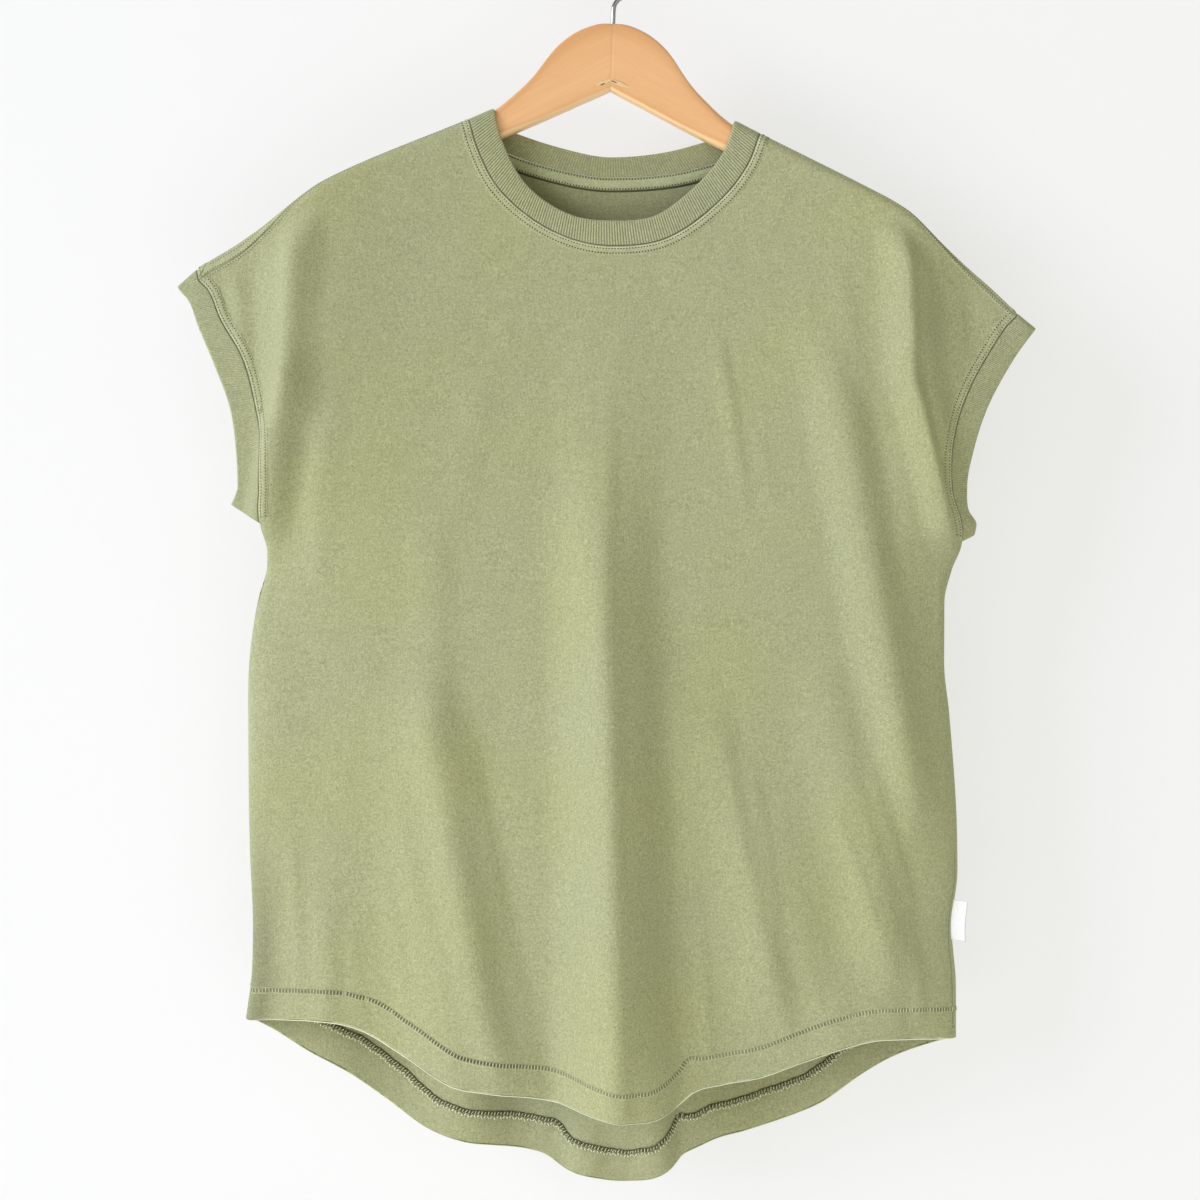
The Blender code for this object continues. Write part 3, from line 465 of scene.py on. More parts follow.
def panel_lines(layer):
    neck = NECK_FRONT if layer < 0 else NECK_BACK
    hem = HEM_FRONT if layer < 0 else HEM_BACK
    neck_shares = spaced(NECK_COLUMNS, NECK_CROWDING, NECK_CROWDING)
    arm_shares = spaced(ARMHOLE_ROWS, *ARMHOLE_CROWDING)
    halves = []
    for arm, neck_row in ((ARM_LEFT, neck[0]), (ARM_RIGHT, neck[-1])):
        shares = spaced(SHOULDER_COLUMNS, 0.5, 0.0)
        x = arm[0].seam_x + (neck_row.seam_x - arm[0].seam_x) * shares
        halves.append(np.stack([x, seam_run(layer, x)], axis=-1))
    top = np.concatenate([halves[0], neck_line(layer, False, neck_shares)[1:-1], halves[1][::-1]])
    shares = (top[:, 0] - top[0, 0]) / (top[-1, 0] - top[0, 0])
    first, last = SHOULDER_COLUMNS, SHOULDER_COLUMNS + NECK_COLUMNS
    even = np.linspace(shares[first], shares[last], NECK_COLUMNS + 1)
    shares[first : last + 1] = 0.3 * shares[first : last + 1] + 0.7 * even

    sides = []
    for arm, side, outline in ((ARM_LEFT, SIDE_LEFT, left_side), (ARM_RIGHT, SIDE_RIGHT, right_side)):
        end_z = side[-1].z + HEM_HEIGHT + HEM_STEP
        z = np.linspace(side[0].z, end_z, SIDE_ROWS + 1)
        lower = np.stack([outline(-z), unroll(outline(-z), z)], axis=-1)
        sides.append(np.concatenate([arm_line(layer, arm, False, arm_shares)[:-1], lower]))

    hem_at = curve_of(hem, "x", "z")
    hem_x = hem[0].x + (hem[-1].x - hem[0].x) * shares
    slope = (hem_at(hem_x + 1) - hem_at(hem_x - 1)) / 2
    fold_z = hem_at(hem_x) + (HEM_HEIGHT + HEM_STEP) * np.sqrt(1 + slope * slope)
    fold_x = sides[0][-1, 0] + (sides[1][-1, 0] - sides[0][-1, 0]) * shares
    bottom = np.stack([fold_x, unroll(fold_x, fold_z)], axis=-1)
    bottom[0] = sides[0][-1]
    bottom[-1] = sides[1][-1]
    edge = np.stack([hem_x, unroll(hem_x, hem_at(hem_x))], axis=-1)
    return top, bottom, edge, sides[0], sides[1], shares


def hem_row(bottom, edge, share):
    """A line across the hem at a share of its height, from its top to its folded edge."""
    row = bottom + (edge - bottom) * share
    for k, outline in ((0, left_side), (-1, right_side)):
        row[k, 0] = outline(-roll_down(row[k, 0], row[k, 1]))
    return row


def panel_grid(layer):
    top, bottom, edge, left, right, shares = panel_lines(layer)
    upper = ARMHOLE_SHARE * spaced(ARMHOLE_ROWS, *ARMHOLE_CROWDING)
    lower = ARMHOLE_SHARE + (1 - ARMHOLE_SHARE) * np.linspace(0, 1, SIDE_ROWS + 1)[1:]
    rows = []
    for v, left_point, right_point in zip(np.concatenate([upper, lower]), left, right):
        between = (1 - v) * top + v * bottom
        left_shift = np.outer((1 - shares) ** SIDE_REACH, left_point - between[0])
        right_shift = np.outer(shares**SIDE_REACH, right_point - between[-1])
        rows.append(between + left_shift + right_shift)
    for share in HEM_SHARES:
        rows.append(hem_row(bottom, edge, share))
    return np.stack(rows)


def unit(v):
    return v / np.maximum(np.linalg.norm(v, axis=-1, keepdims=True), 1e-9)


def ways_along(line):
    return unit(np.gradient(line, axis=0))


def outward(layer, x, run):
    h = 0.05
    over = place(layer, x + h, run) - place(layer, x - h, run)
    up = place(layer, x, run + h) - place(layer, x, run - h)
    return -layer * unit(np.cross(over, up))


def on_cloth(layer, line, height=0.0):
    """Points over a line in x and run, at a height above the outer face, and its normals."""
    point = place(layer, line[:, 0], line[:, 1])
    normal = outward(layer, line[:, 0], line[:, 1])
    return point + normal * height, normal


def lengths_along(points):
    return np.concatenate([[0], np.cumsum(np.linalg.norm(np.diff(points, axis=0), axis=1))])


def even_line(points, pitch):
    """The same line with evenly spaced points, about one pitch apart."""
    length = lengths_along(points)
    count = max(int(round(length[-1] / pitch)), 2)
    at = np.linspace(0, length[-1], count + 1)
    return np.stack([np.interp(at, length, points[:, k]) for k in range(points.shape[1])], axis=-1)


def shifted_line(line, distance, towards):
    """A line in x and run moved square to itself by a distance, to the side of a point."""
    way = ways_along(line)
    square = np.stack([-way[:, 1], way[:, 0]], axis=-1)
    middle = len(line) // 2
    sign = np.sign(np.dot(square[middle], np.asarray(towards, float) - line[middle]))
    return line + square * sign * distance


# Meshes
ROOT = "root"


def add_piece(name, points, faces, made, node=(), slot=None, fields=None):
    """A mesh piece from points in millimetres, with named fields of one number at each point."""
    mesh = bpy.data.meshes.new(name)
    points = np.asarray(points, float).reshape(-1, 3)
    quads = [tuple(face) for group in faces for face in group.tolist()]
    mesh.from_pydata((points * MM).tolist(), [], quads)
    for key, values in (fields or {}).items():
        layer = mesh.attributes.new(key, "FLOAT", "POINT")
        layer.data.foreach_set("value", np.asarray(values, np.float32).ravel())
    mesh.materials.append(made)
    mesh.polygons.foreach_set("use_smooth", [len(face.vertices) <= 4 for face in mesh.polygons])
    mesh.validate()
    mesh.update()
    thing = bpy.data.objects.new(name, mesh)
    bpy.context.scene.collection.objects.link(thing)
    if node:
        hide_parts(*node)
    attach(thing, ROOT)
    return thing


def grid_faces(rows, columns, wrap_rows=False, wrap_columns=False):
    index = np.arange(rows * columns).reshape(rows, columns)
    if wrap_rows:
        index = np.concatenate([index, index[:1]])
    if wrap_columns:
        index = np.concatenate([index, index[:, :1]], axis=1)
    a, b = index[:-1, :-1], index[1:, :-1]
    c, d = index[1:, 1:], index[:-1, 1:]
    return np.stack([a, b, c, d], axis=-1).reshape(-1, 4)


def turned_out(points, groups):
    """The faces, turned so that they face out of the closed shape."""
    total = 0.0
    flat = points.reshape(-1, 3) - points.reshape(-1, 3).mean(axis=0)
    for group in groups:
        for k in range(1, group.shape[1] - 1):
            a, b, c = flat[group[:, 0]], flat[group[:, k]], flat[group[:, k + 1]]
            total += np.einsum("ni,ni->", a, np.cross(b, c))
    if total < 0:
        return [group[:, ::-1] for group in groups]
    return groups


def wall_faces(rows, columns):
    """Faces of a folded-over grid: its first and last row meet, and its sides are closed."""
    groups = [grid_faces(rows, columns, wrap_rows=True)]
    index = np.arange(rows * columns).reshape(rows, columns)
    half = rows // 2
    for k, flip in ((0, False), (columns - 1, True)):
        a, b = index[: half - 1, k], index[1:half, k]
        c, d = index[::-1, k][1:half], index[::-1, k][: half - 1]
        groups.append(np.stack([b, c, d, a] if flip else [d, c, b, a], axis=-1))
    return groups


def tube_faces(stations, points, closed):
    groups = [grid_faces(stations, points, wrap_rows=closed, wrap_columns=True)]
    if not closed:
        groups.append(np.arange(points)[None, ::-1])
        groups.append((stations - 1) * points + np.arange(points)[None])
    return groups


def add_tube(name, sections, *looks, closed=False, **more):
    """A piece from rings of points, closed into a loop or capped at both ends."""
    groups = turned_out(sections, tube_faces(*sections.shape[:2], closed))
    return add_piece(name, sections, groups, *looks, **more)


def beads(name, centres, ways, normals, length, width, height, made, node=(), slot=None):
    """Small rounded stitches, each lying along its own direction on the cloth."""
    ways = unit(ways)
    sides = unit(np.cross(normals, ways))
    length = np.broadcast_to(length, len(centres))[:, None]
    template = [(-0.5, 0, 0)]
    for at in (-0.34, 0.34):
        for k in range(BEAD_SIDES):
            a = 2 * math.pi * k / BEAD_SIDES
            template.append((at, 0.5 * math.cos(a), 0.5 * math.sin(a)))
    template.append((0.5, 0, 0))
    points = []
    for u, v, w in template:
        points.append(centres + ways * length * u + sides * width * v + normals * height * w)
    points = np.stack(points, axis=1)
    quads, triangles = [], []
    second, last = 1 + BEAD_SIDES, 1 + 2 * BEAD_SIDES
    for k in range(BEAD_SIDES):
        k2 = (k + 1) % BEAD_SIDES
        quads.append((1 + k, 1 + k2, second + k2, second + k))
        triangles.append((0, 1 + k2, 1 + k))
        triangles.append((last, second + k, second + k2))
    start = (np.arange(len(centres)) * len(template))[:, None, None]
    quads = (np.array(quads)[None] + start).reshape(-1, 4)
    triangles = (np.array(triangles)[None] + start).reshape(-1, 3)
    return add_piece(name, points, [quads, triangles], made, node, slot)


# Materials
class Shading:
    """One material with its nodes, and short ways to add nodes and to join them."""

    def __init__(self, name):
        self.made = bpy.data.materials.new(name)
        self.made.use_nodes = True
        self.nodes = self.made.node_tree.nodes
        self.shader = self.nodes["Principled BSDF"]

    def put(self, value, socket):
        """A number or a color on a socket, or a link into it."""
        if isinstance(value, (int, float)):
            socket.default_value = value
        elif isinstance(value, tuple):
            socket.default_value = (*value, 1.0)
        else:
            self.made.node_tree.links.new(value, socket)

    def add(self, kind, values):
        node = self.nodes.new(kind)
        for key, value in values.items():
            self.put(value, node.inputs[key])
        return node

    def surface(self, values):
        for key, value in values.items():
            self.put(value, self.shader.inputs[key])

    def mapped(self, scale, rotation=(0, 0, 0)):
        vector = self.nodes.new("ShaderNodeTexCoord").outputs["Object"]
        for key, value in (("Rotation", rotation), ("Scale", scale)):
            step = self.add("ShaderNodeMapping", {"Vector": vector})
            step.inputs[key].default_value = value
            vector = step.outputs["Vector"]
        return vector

    def noise(self, vector, scale, detail=2.0, roughness=0.5):
        values = {"Vector": vector, "Scale": scale, "Detail": detail, "Roughness": roughness}
        return self.add("ShaderNodeTexNoise", values).outputs["Fac"]

    def ramp(self, value, low, high, low_value, high_value):
        values = {"Value": value, "From Min": low, "From Max": high}
        values.update({"To Min": low_value, "To Max": high_value})
        return self.add("ShaderNodeMapRange", values).outputs["Result"]

    def maths(self, operation, a, b):
        node = self.add("ShaderNodeMath", {0: a, 1: b})
        node.operation = operation
        return node.outputs[0]

    def mix(self, factor, a, b, blend="MIX"):
        node = self.nodes.new("ShaderNodeMix")
        node.data_type = "RGBA"
        node.blend_type = blend
        for k, value in ((0, factor), (6, a), (7, b)):
            self.put(value, node.inputs[k])
        return node.outputs[2]

    def field(self, name):
        node = self.nodes.new("ShaderNodeAttribute")
        node.attribute_name = name
        return node.outputs["Fac"]

    def bump(self, height, strength, distance):
        values = {"Height": height, "Strength": strength, "Distance": distance}
        self.surface({"Normal": self.add("ShaderNodeBump", values).outputs["Normal"]})


def scaled(color, *factors):
    return tuple(min(c * k, 1.0) for c, k in zip(color, factors * (3 // len(factors))))


def cloth_material(name, color, pale_color, dark_color, bump_height):
    """Cotton knit: two tones of mottle, a fine knit bump, pale worn edges with some painted highlight, and
    painted shade in seam grooves, holes and hollows.
    """
    look = Shading(name)
    flat = look.mapped((1, 1, 1))
    grain = look.noise(flat, 760, 2.0, 0.7)
    specks = look.noise(flat, 1500, 1.0, 0.6)
    wales = look.noise(look.mapped((1.0, 1.0, 0.16)), 900, 1.0)
    courses = look.noise(look.mapped((0.12, 1.0, 1.0)), 700, 1.0)
    clouds = look.noise(flat, 9)

    tone = look.mix(look.ramp(grain, 0.3, 0.7, 0, 1), scaled(color, 0.66), scaled(color, 1.36))
    cool = scaled(color, 0.97, 1.0, 1.12)
    warm = scaled(color, 1.03, 1.02, 0.86)
    tone = look.mix(0.35, tone, look.mix(look.ramp(clouds, 0.35, 0.65, 0, 1), cool, warm))
    speck = look.ramp(specks, 0.35, 0.65, 0.90, 1.10)
    streak = look.ramp(look.maths("ADD", wales, courses), 0.8, 1.2, 0.955, 1.045)
    shade = look.maths("MULTIPLY", speck, streak)
    gray = look.add("ShaderNodeCombineColor", {0: shade, 1: shade, 2: shade})
    tone = look.mix(1.0, tone, gray.outputs[0], "MULTIPLY")
    # The pale field mixes worn pale with painted highlight; the dark field is painted shade.
    tone = look.mix(look.field("pale"), tone, pale_color)
    tone = look.mix(look.field("dark"), tone, dark_color)

    height = look.maths("ADD", look.maths("MULTIPLY", grain, 0.6), specks)
    height = look.maths("ADD", height, look.maths("MULTIPLY", wales, 0.5))
    look.bump(height, 0.55, bump_height)
    look.surface({"Base Color": tone, "Roughness": look.ramp(grain, 0.3, 0.7, 0.84, 0.97)})
    look.surface({"Sheen Weight": 0.25, "Sheen Roughness": 0.6, "Sheen Tint": pale_color})
    look.surface({"Specular IOR Level": 0.25})
    return look.made


# SAGE_PALE is the pale of worn edges and of painted highlights; SAGE_DARK is the colour of painted shade.
SAGE = (0.392, 0.402, 0.216)
SAGE_PALE = (0.86, 0.90, 0.62)
SAGE_DARK = (0.040, 0.043, 0.018)
jersey = cloth_material("jersey_sage", SAGE, SAGE_PALE, SAGE_DARK, 0.0004)
rib_knit = cloth_material("rib_knit_sage", (0.385, 0.395, 0.215), SAGE_PALE, SAGE_DARK, 0.0003)
tape_cloth = cloth_material("neck_tape_sage", (0.355, 0.375, 0.20), SAGE_PALE, SAGE_DARK, 0.0003)
thread = cloth_material("sewing_thread_sage", (0.56, 0.57, 0.35), SAGE_PALE, SAGE_DARK, 0.0001)
pale_thread = cloth_material("overlock_thread_sage", (0.68, 0.69, 0.46), SAGE_PALE, SAGE_DARK, 0.0001)
# Dark bars in this colour are painted shade on the sunken underside of the hem's coverstitch.
stitch_underside_shade = cloth_material("painted_shade_stitch_underside_sage", (0.095, 0.10, 0.045), SAGE, SAGE_DARK, 0.0001)
# Dark beads in this colour are painted shade in needle holes.
shadow_thread = cloth_material("painted_shade_holes_sage", (0.085, 0.09, 0.04), SAGE, SAGE_DARK, 0.0001)


def label_material():
    look = Shading("label_tape_white")
    across = look.noise(look.mapped((1, 1, 0.15)), 2600, 1.0)
    upright = look.noise(look.mapped((0.15, 1, 1)), 2600, 1.0)
    weave = look.maths("ADD", across, upright)
    tone = look.mix(look.ramp(weave, 0.8, 1.2, 0, 1), (0.90, 0.90, 0.89), (0.97, 0.97, 0.96))
    look.bump(weave, 0.4, 0.0002)
    look.surface({"Base Color": tone, "Roughness": 0.6, "Sheen Weight": 0.2})
    return look.made


def wood_material(name, light, deep, slope):
    """Lacquered beech with its grain running along one arm of the hanger."""
    look = Shading(name)
    lengthwise = look.mapped((0.06, 1.0, 1.0), (0, slope, 0))
    grain = look.noise(lengthwise, 420, 3.0, 0.6)
    broad = look.noise(lengthwise, 90)
    flecks = look.noise(look.mapped((0.35, 1.0, 1.0), (0, slope, 0)), 1500, 1.0, 0.6)
    amount = look.maths("ADD", look.maths("MULTIPLY", grain, 0.55), look.maths("MULTIPLY", broad, 0.45))
    tone = look.mix(look.ramp(amount, 0.36, 0.64, 0, 1), deep, light)
    tone = look.mix(look.ramp(flecks, 0.62, 0.75, 0, 0.22), tone, scaled(deep, 0.75))
    tone = look.mix(look.field("deep"), tone, (0.66, 0.30, 0.10))
    # The pale field is a painted highlight on the hanger's underside.
    tone = look.mix(look.field("pale"), tone, (0.98, 0.70, 0.33))
    look.bump(grain, 0.12, 0.0002)
    look.surface({"Base Color": tone, "Roughness": look.ramp(grain, 0.3, 0.7, 0.38, 0.5)})
    look.surface({"Coat Weight": 0.35, "Coat Roughness": 0.22})
    return look.made


def steel_material():
    look = Shading("hook_bright_steel")
    drawn = look.noise(look.mapped((1, 1, 0.1)), 900)
    tone = look.mix(look.ramp(drawn, 0.3, 0.7, 0, 1), (0.34, 0.34, 0.36), (0.50, 0.50, 0.52))
    look.surface({"Base Color": tone, "Roughness": look.ramp(drawn, 0.3, 0.7, 0.10, 0.20), "Metallic": 1.0})
    return look.made


WOOD_LIGHT = (0.91, 0.525, 0.25)
WOOD_DEEP = (0.86, 0.47, 0.205)
wood_left = wood_material("hanger_beech_left", WOOD_LIGHT, WOOD_DEEP, math.radians(28))
wood_right = wood_material("hanger_beech_right", WOOD_LIGHT, WOOD_DEEP, math.radians(-28))
wood_pale = wood_material("hanger_beech_end_grain", (0.90, 0.66, 0.36), (0.82, 0.55, 0.27), 0.0)
# The gouge colour is painted shade in small recesses at the joint.
wood_gouge = wood_material("hanger_joint_gouge", (0.16, 0.09, 0.035), (0.10, 0.055, 0.02), 0.0)
label_tape = label_material()
hook_steel = steel_material()

# The two panels
grids = {layer: panel_grid(layer) for layer in (-1, 1)}
outer = {layer: place(layer, grid[..., 0], grid[..., 1]) for layer, grid in grids.items()}
for k in (0, -1):
    shared = 0.5 * (outer[-1][ARMHOLE_ROWS:, k] + outer[1][ARMHOLE_ROWS:, k])
    outer[-1][ARMHOLE_ROWS:, k] = shared
    outer[1][ARMHOLE_ROWS:, k] = shared


def underarm_normal(arm):
    last = arm[-1]
    out = np.array([last.edge_z - last.seam_z, 0.0, last.seam_x - last.edge_x])
    return unit(out * (-1.0 if out[2] > 0 else 1.0))


def panel_normals(layer, grid, points):
    normal = outward(layer, grid[..., 0], grid[..., 1])
    for k, side, arm in ((0, 1.0, ARM_LEFT), (-1, -1.0, ARM_RIGHT)):
        line = points[ARMHOLE_ROWS:, k]
        flat = np.gradient(line, axis=0) * np.array([1, 0, 1])
        normal[ARMHOLE_ROWS:, k] = side * unit(np.cross(flat, [0, -1, 0]))
        corner = normal[ARMHOLE_ROWS, k] + underarm_normal(arm)
        normal[ARMHOLE_ROWS, k] = unit(corner)
    return normal


normals = {layer: panel_normals(layer, grids[layer], outer[layer]) for layer in (-1, 1)}


def seam_inset(line, normal, towards, amount=SEAM_GAP / 2):
    way = unit(np.cross(ways_along(line), normal))
    sign = np.sign(np.sum(way * (towards - line), axis=-1, keepdims=True))
    return way * sign * amount


def build_panel(name, layer, node):
    """A wall of jersey with a rounded folded hem. Its edges lie half a seam gap from each seam."""
    points, normal = outer[layer], normals[layer]
    thickness = np.full(points.shape[:2], JERSEY_WALL)
    thickness[-HEM_ROWS:] = HEM_WALL
    face = points.copy()
    face[0] += seam_inset(points[0], normal[0], points[1])
    for k, inside in ((0, 1), (-1, -2)):
        arm = slice(0, ARMHOLE_ROWS + 1)
        face[arm, k] += seam_inset(points[arm, k], normal[arm, k], points[arm, inside])
        face[ARMHOLE_ROWS:, k, 1] += layer * SEAM_GAP / 2
    inner = face - normal * thickness[..., None]
    down = unit(face[-1] - face[-2])
    middle, half = 0.5 * (face[-1] + inner[-1]), 0.5 * HEM_WALL
    fold = []
    for angle in FOLD_ANGLES:
        a = math.radians(angle)
        fold.append(middle + normal[-1] * half * math.sin(a) + down * half * (math.cos(a) - 1.0))
    fold = np.stack(fold)
    points = np.concatenate([face[:-1], fold, inner[::-1][1:]])
    rows, columns = points.shape[:2]
    edge = len(face) - 1
    inside = edge + len(FOLD_ANGLES)
    pale = np.zeros((rows, columns))
    # The hem fold and the row above it get worn pale and painted highlight where the fold faces down.
    pale[edge:inside] = np.array(FOLD_FROST_AND_HIGHLIGHT)[:, None]
    pale[edge - 1] = 0.55
    for k in (0, -1):
        pale[:, k] = np.maximum(pale[:, k], SEAM_PALE)
    x, z = points[..., 0], points[..., 2]
    # Painted shade on the inside below the neck and along the lower side edges; the small even share inside
    # is also the darker purl side.
    under_neck = ease((z[inside:] + 330) / 110) * ease((165 - np.abs(x[inside:])) / 45)
    side_reach = np.minimum(x[:inside] - left_side(-z[:inside]), 400)
    low = ease((-560 - z[:inside]) / 160)
    dark = np.zeros((rows, columns))
    dark[inside:] = INSIDE_SHADE + NECK_SHADE * under_neck
    dark[:inside] = SIDE_SHADE * low * ease((24 - side_reach) / 18)
    groups = turned_out(points, wall_faces(rows, columns))
    return add_piece(name, points, groups, jersey, (node,), "jersey", {"pale": pale, "dark": dark})


front_cloth = build_panel("front_cloth", -1, "front_panel")
back_cloth = build_panel("back_cloth", 1, "back_panel")

# Strips along the seams
# Height of the seam's turned-under edges through the cloth at each distance from the seam, with the share
# of worn pale and of painted shade in the seam grooves.
StripRow = namedtuple("StripRow", "distance height pale dark")
SEAM_STRIP = rows_of(
    StripRow,
    (0.16, -0.75, 0.0, 1.0), (0.42, -0.15, 0.0, 0.85), (0.70, 0.34, 0.34, 0.05), (1.05, 0.56, 0.70, 0.0),
    (1.55, 0.52, 0.60, 0.0), (1.90, 0.26, 0.12, 0.35), (2.30, 0.38, 0.25, 0.0), (3.20, 0.46, 0.20, 0.0),
    (4.20, 0.44, 0.12, 0.0), (4.70, 0.34, 0.10, 0.05), (5.20, 0.18, 0.0, 0.28), (5.70, 0.28, 0.12, 0.0),
    (6.40, 0.14, 0.03, 0.0), (7.60, -0.10, 0.0, 0.0),
)
# Length, width and height of a stitch and of a needle hole.
NECK_STITCH, NECK_HOLE = (1.15, 0.72, 0.6), (0.98, 1.10, 0.56)
ARM_STITCH, ARM_HOLE = (1.15, 0.66, 0.5), (0.85, 0.92, 0.5)
SHOULDER_STITCH, SHOULDER_HOLE = (1.15, 0.6, 0.45), (0.7, 0.7, 0.42)
LADDER_BAR = (3.2, 0.74, 0.5)
INSIDE_BAR = (3.4, 1.4, 0.7)
OVERLOCK_LOOP = (2.6, 1.05, 0.9)
# Rows of topstitches: distance from the seam, height above the cloth, and start in pitches.
SEAM_STITCHES = ((1.9, 0.40, 0.5), (5.2, 0.32, 0.9))


def strip_tube(layer, line, towards, rows, sink=0.75):
    """Sections of a low strip that runs along a line in x and run, on the outer face."""
    heights = [(row.distance, row.height) for row in rows]
    heights += [(row.distance, -sink) for row in (rows[-1], rows[0])]
    sections = []
    for distance, height in heights:
        sections.append(on_cloth(layer, shifted_line(line, distance, towards), height)[0])
    return np.stack(sections, axis=1)


def build_strip(name, layer, line, towards, rows, depth=1.0, frost=1.0):
    """A strip whose pale worn edges come and go along it. depth scales its painted groove shade and frost
    its pale.
    """
    sections = strip_tube(layer, line, towards, rows)
    stations = len(sections)
    pale = np.array([row.pale for row in rows] + [0, 0])
    dark = np.array([row.dark for row in rows] + [0, 1])
    step = np.arange(stations)
    wave = 0.66 + 0.24 * np.sin(step * 0.37 + layer) * np.sin(step * 0.071)
    dark = np.outer(np.broadcast_to(depth, stations), dark)
    fields = {"pale": np.outer(wave, pale) * frost, "dark": dark}
    return add_tube(name, sections, jersey, slot="jersey", fields=fields)


def stitch_line(layer, line, distance, towards, height, pitch, start=0.5):
    """Centres, directions and normals of stitches along a line on the outer face."""
    moved = shifted_line(line, distance, towards) if distance else line
    moved = even_line(moved, 1.0)
    points = place(layer, moved[:, 0], moved[:, 1])
    length = lengths_along(points)
    at = np.arange(start * pitch, length[-1], pitch)
    spots = np.stack([np.interp(at, length, moved[:, k]) for k in (0, 1)], axis=-1)
    centre, normal = on_cloth(layer, spots)
    way = ways_along(centre)
    return centre + normal * height, way, normal


def join(parts):
    return [np.concatenate([part[k] for part in parts]) for k in range(3)]


def sew(seam, where, layer, line, towards, rows, stitch_rows, stitch_size, hole_size, depth=1.0, frost=1.0):
    """A seam's strip, its rows of topstitches, and dark beads of painted shade for the needle holes between
    the stitches.
    """
    strip_word = "seam_strip" if seam == "neck" else "strip"
    strip = build_strip(f"{seam}_{strip_word}_{where}", layer, line, towards, rows, depth, frost)
    parts = []
    for distance, height, start in stitch_rows:
        parts.append(stitch_line(layer, line, distance, towards, height, STITCH_PITCH, start))
    stitches = beads(f"{seam}_topstitch_{where}", *join(parts), *stitch_size, thread, slot="jersey")
    holes = [(c + w * STITCH_PITCH / 2 - n * 0.06, w, n) for c, w, n in parts]
    dots = beads(f"{seam}_needle_holes_{where}", *join(holes), *hole_size, shadow_thread, slot="jersey")
    return [strip, stitches, dots]


SIDES = (("front", -1), ("back", 1))
pieces_on = {"front": [], "back": []}
fine_neck = np.linspace(0, 1, 421)
fine_arm = np.linspace(0, 1, 241)
for side_name, layer in SIDES:
    line = even_line(neck_line(layer, False, fine_neck), 1.0)
    towards = (0.0, -420.0)
    pieces_on[side_name] += sew(
        "neck", side_name, layer, line, towards, SEAM_STRIP, SEAM_STITCHES, NECK_STITCH, NECK_HOLE
    )

for arm_name, arm, centre_x in (("left", ARM_LEFT, -150.0), ("right", ARM_RIGHT, 150.0)):
    for side_name, layer in SIDES:
        line = even_line(arm_line(layer, arm, False, fine_arm), 1.0)[2:-4]
        towards = (centre_x, line[len(line) // 2, 1])
        pieces_on[side_name] += sew(
            "armhole", f"{arm_name}_{side_name}", layer, line, towards, SEAM_STRIP, SEAM_STITCHES,
            ARM_STITCH, ARM_HOLE, depth=0.75, frost=0.45,
        )

# Shoulder seams: a thin dark line of painted shade in the seam groove, one row of stitches in front of it
# and two behind.
SHOULDER_FRONT = rows_of(
    StripRow,
    (0.10, -0.60, 0.0, 1.0), (0.66, -0.20, 0.0, 1.0), (0.95, 0.16, 0.15, 0.2), (1.10, 0.22, 0.30, 0.0),
    (1.60, 0.14, 0.15, 0.1), (2.20, 0.16, 0.12, 0.0), (3.20, -0.10, 0.0, 0.0),
)
SHOULDER_BACK = rows_of(
    StripRow,
    (0.10, -0.60, 0.0, 1.0), (0.60, -0.16, 0.0, 1.0), (0.90, 0.28, 0.20, 0.15), (1.40, 0.34, 0.35, 0.0),
    (2.40, 0.38, 0.15, 0.0), (4.20, 0.38, 0.12, 0.0), (4.90, 0.24, 0.08, 0.15), (5.50, 0.26, 0.15, 0.0),
    (6.80, -0.10, 0.0, 0.0),
)
SHOULDER_ROWS = {-1: (SHOULDER_FRONT, (1.6,)), 1: (SHOULDER_BACK, (1.4, 4.9))}
for arm_name, arm, k in (("left", ARM_LEFT, 0), ("right", ARM_RIGHT, -1)):
    for side_name, layer in SIDES:
        rows, rows_at = SHOULDER_ROWS[layer]
        neck = NECK_FRONT if layer < 0 else NECK_BACK
        x = np.linspace(arm[0].seam_x * 0.995, neck[k].seam_x * 1.03, 260)
        line = even_line(np.stack([x, seam_run(layer, x)], axis=-1), 1.0)
        middle = line[len(line) // 2]
        towards = (middle[0], middle[1] - 60)
        stitch_rows = [(at, 0.30, 0.5 + 0.3 * at) for at in rows_at]
        where = f"{arm_name}_{side_name}"
        pieces_on[side_name] += sew(
            "shoulder", where, layer, line, towards, rows, stitch_rows, SHOULDER_STITCH, SHOULDER_HOLE
        )

# Hems
# The dark column is painted shade in the slots between the ladder's bars.
LADDER_BED = rows_of(
    StripRow,
    (-2.4, -0.08, 0.0, 0.0), (-1.7, 0.12, 0.10, 0.0), (-1.3, 0.08, 0.0, 0.8), (0.0, 0.06, 0.0, 1.0),
    (1.3, 0.08, 0.0, 0.8), (1.7, 0.14, 0.18, 0.0), (2.6, -0.08, 0.0, 0.0),
)


def hem_line(layer, share):
    _, bottom, edge, _, _, _ = panel_lines(layer)
    return even_line(hem_row(bottom, edge, share)[1:-1], 1.0)


def inner_point(layer, line, depth):
    """Points on the inside of the cloth, with the normal that faces into the shirt."""
    point, normal = on_cloth(layer, line, -depth)
    return point, -normal


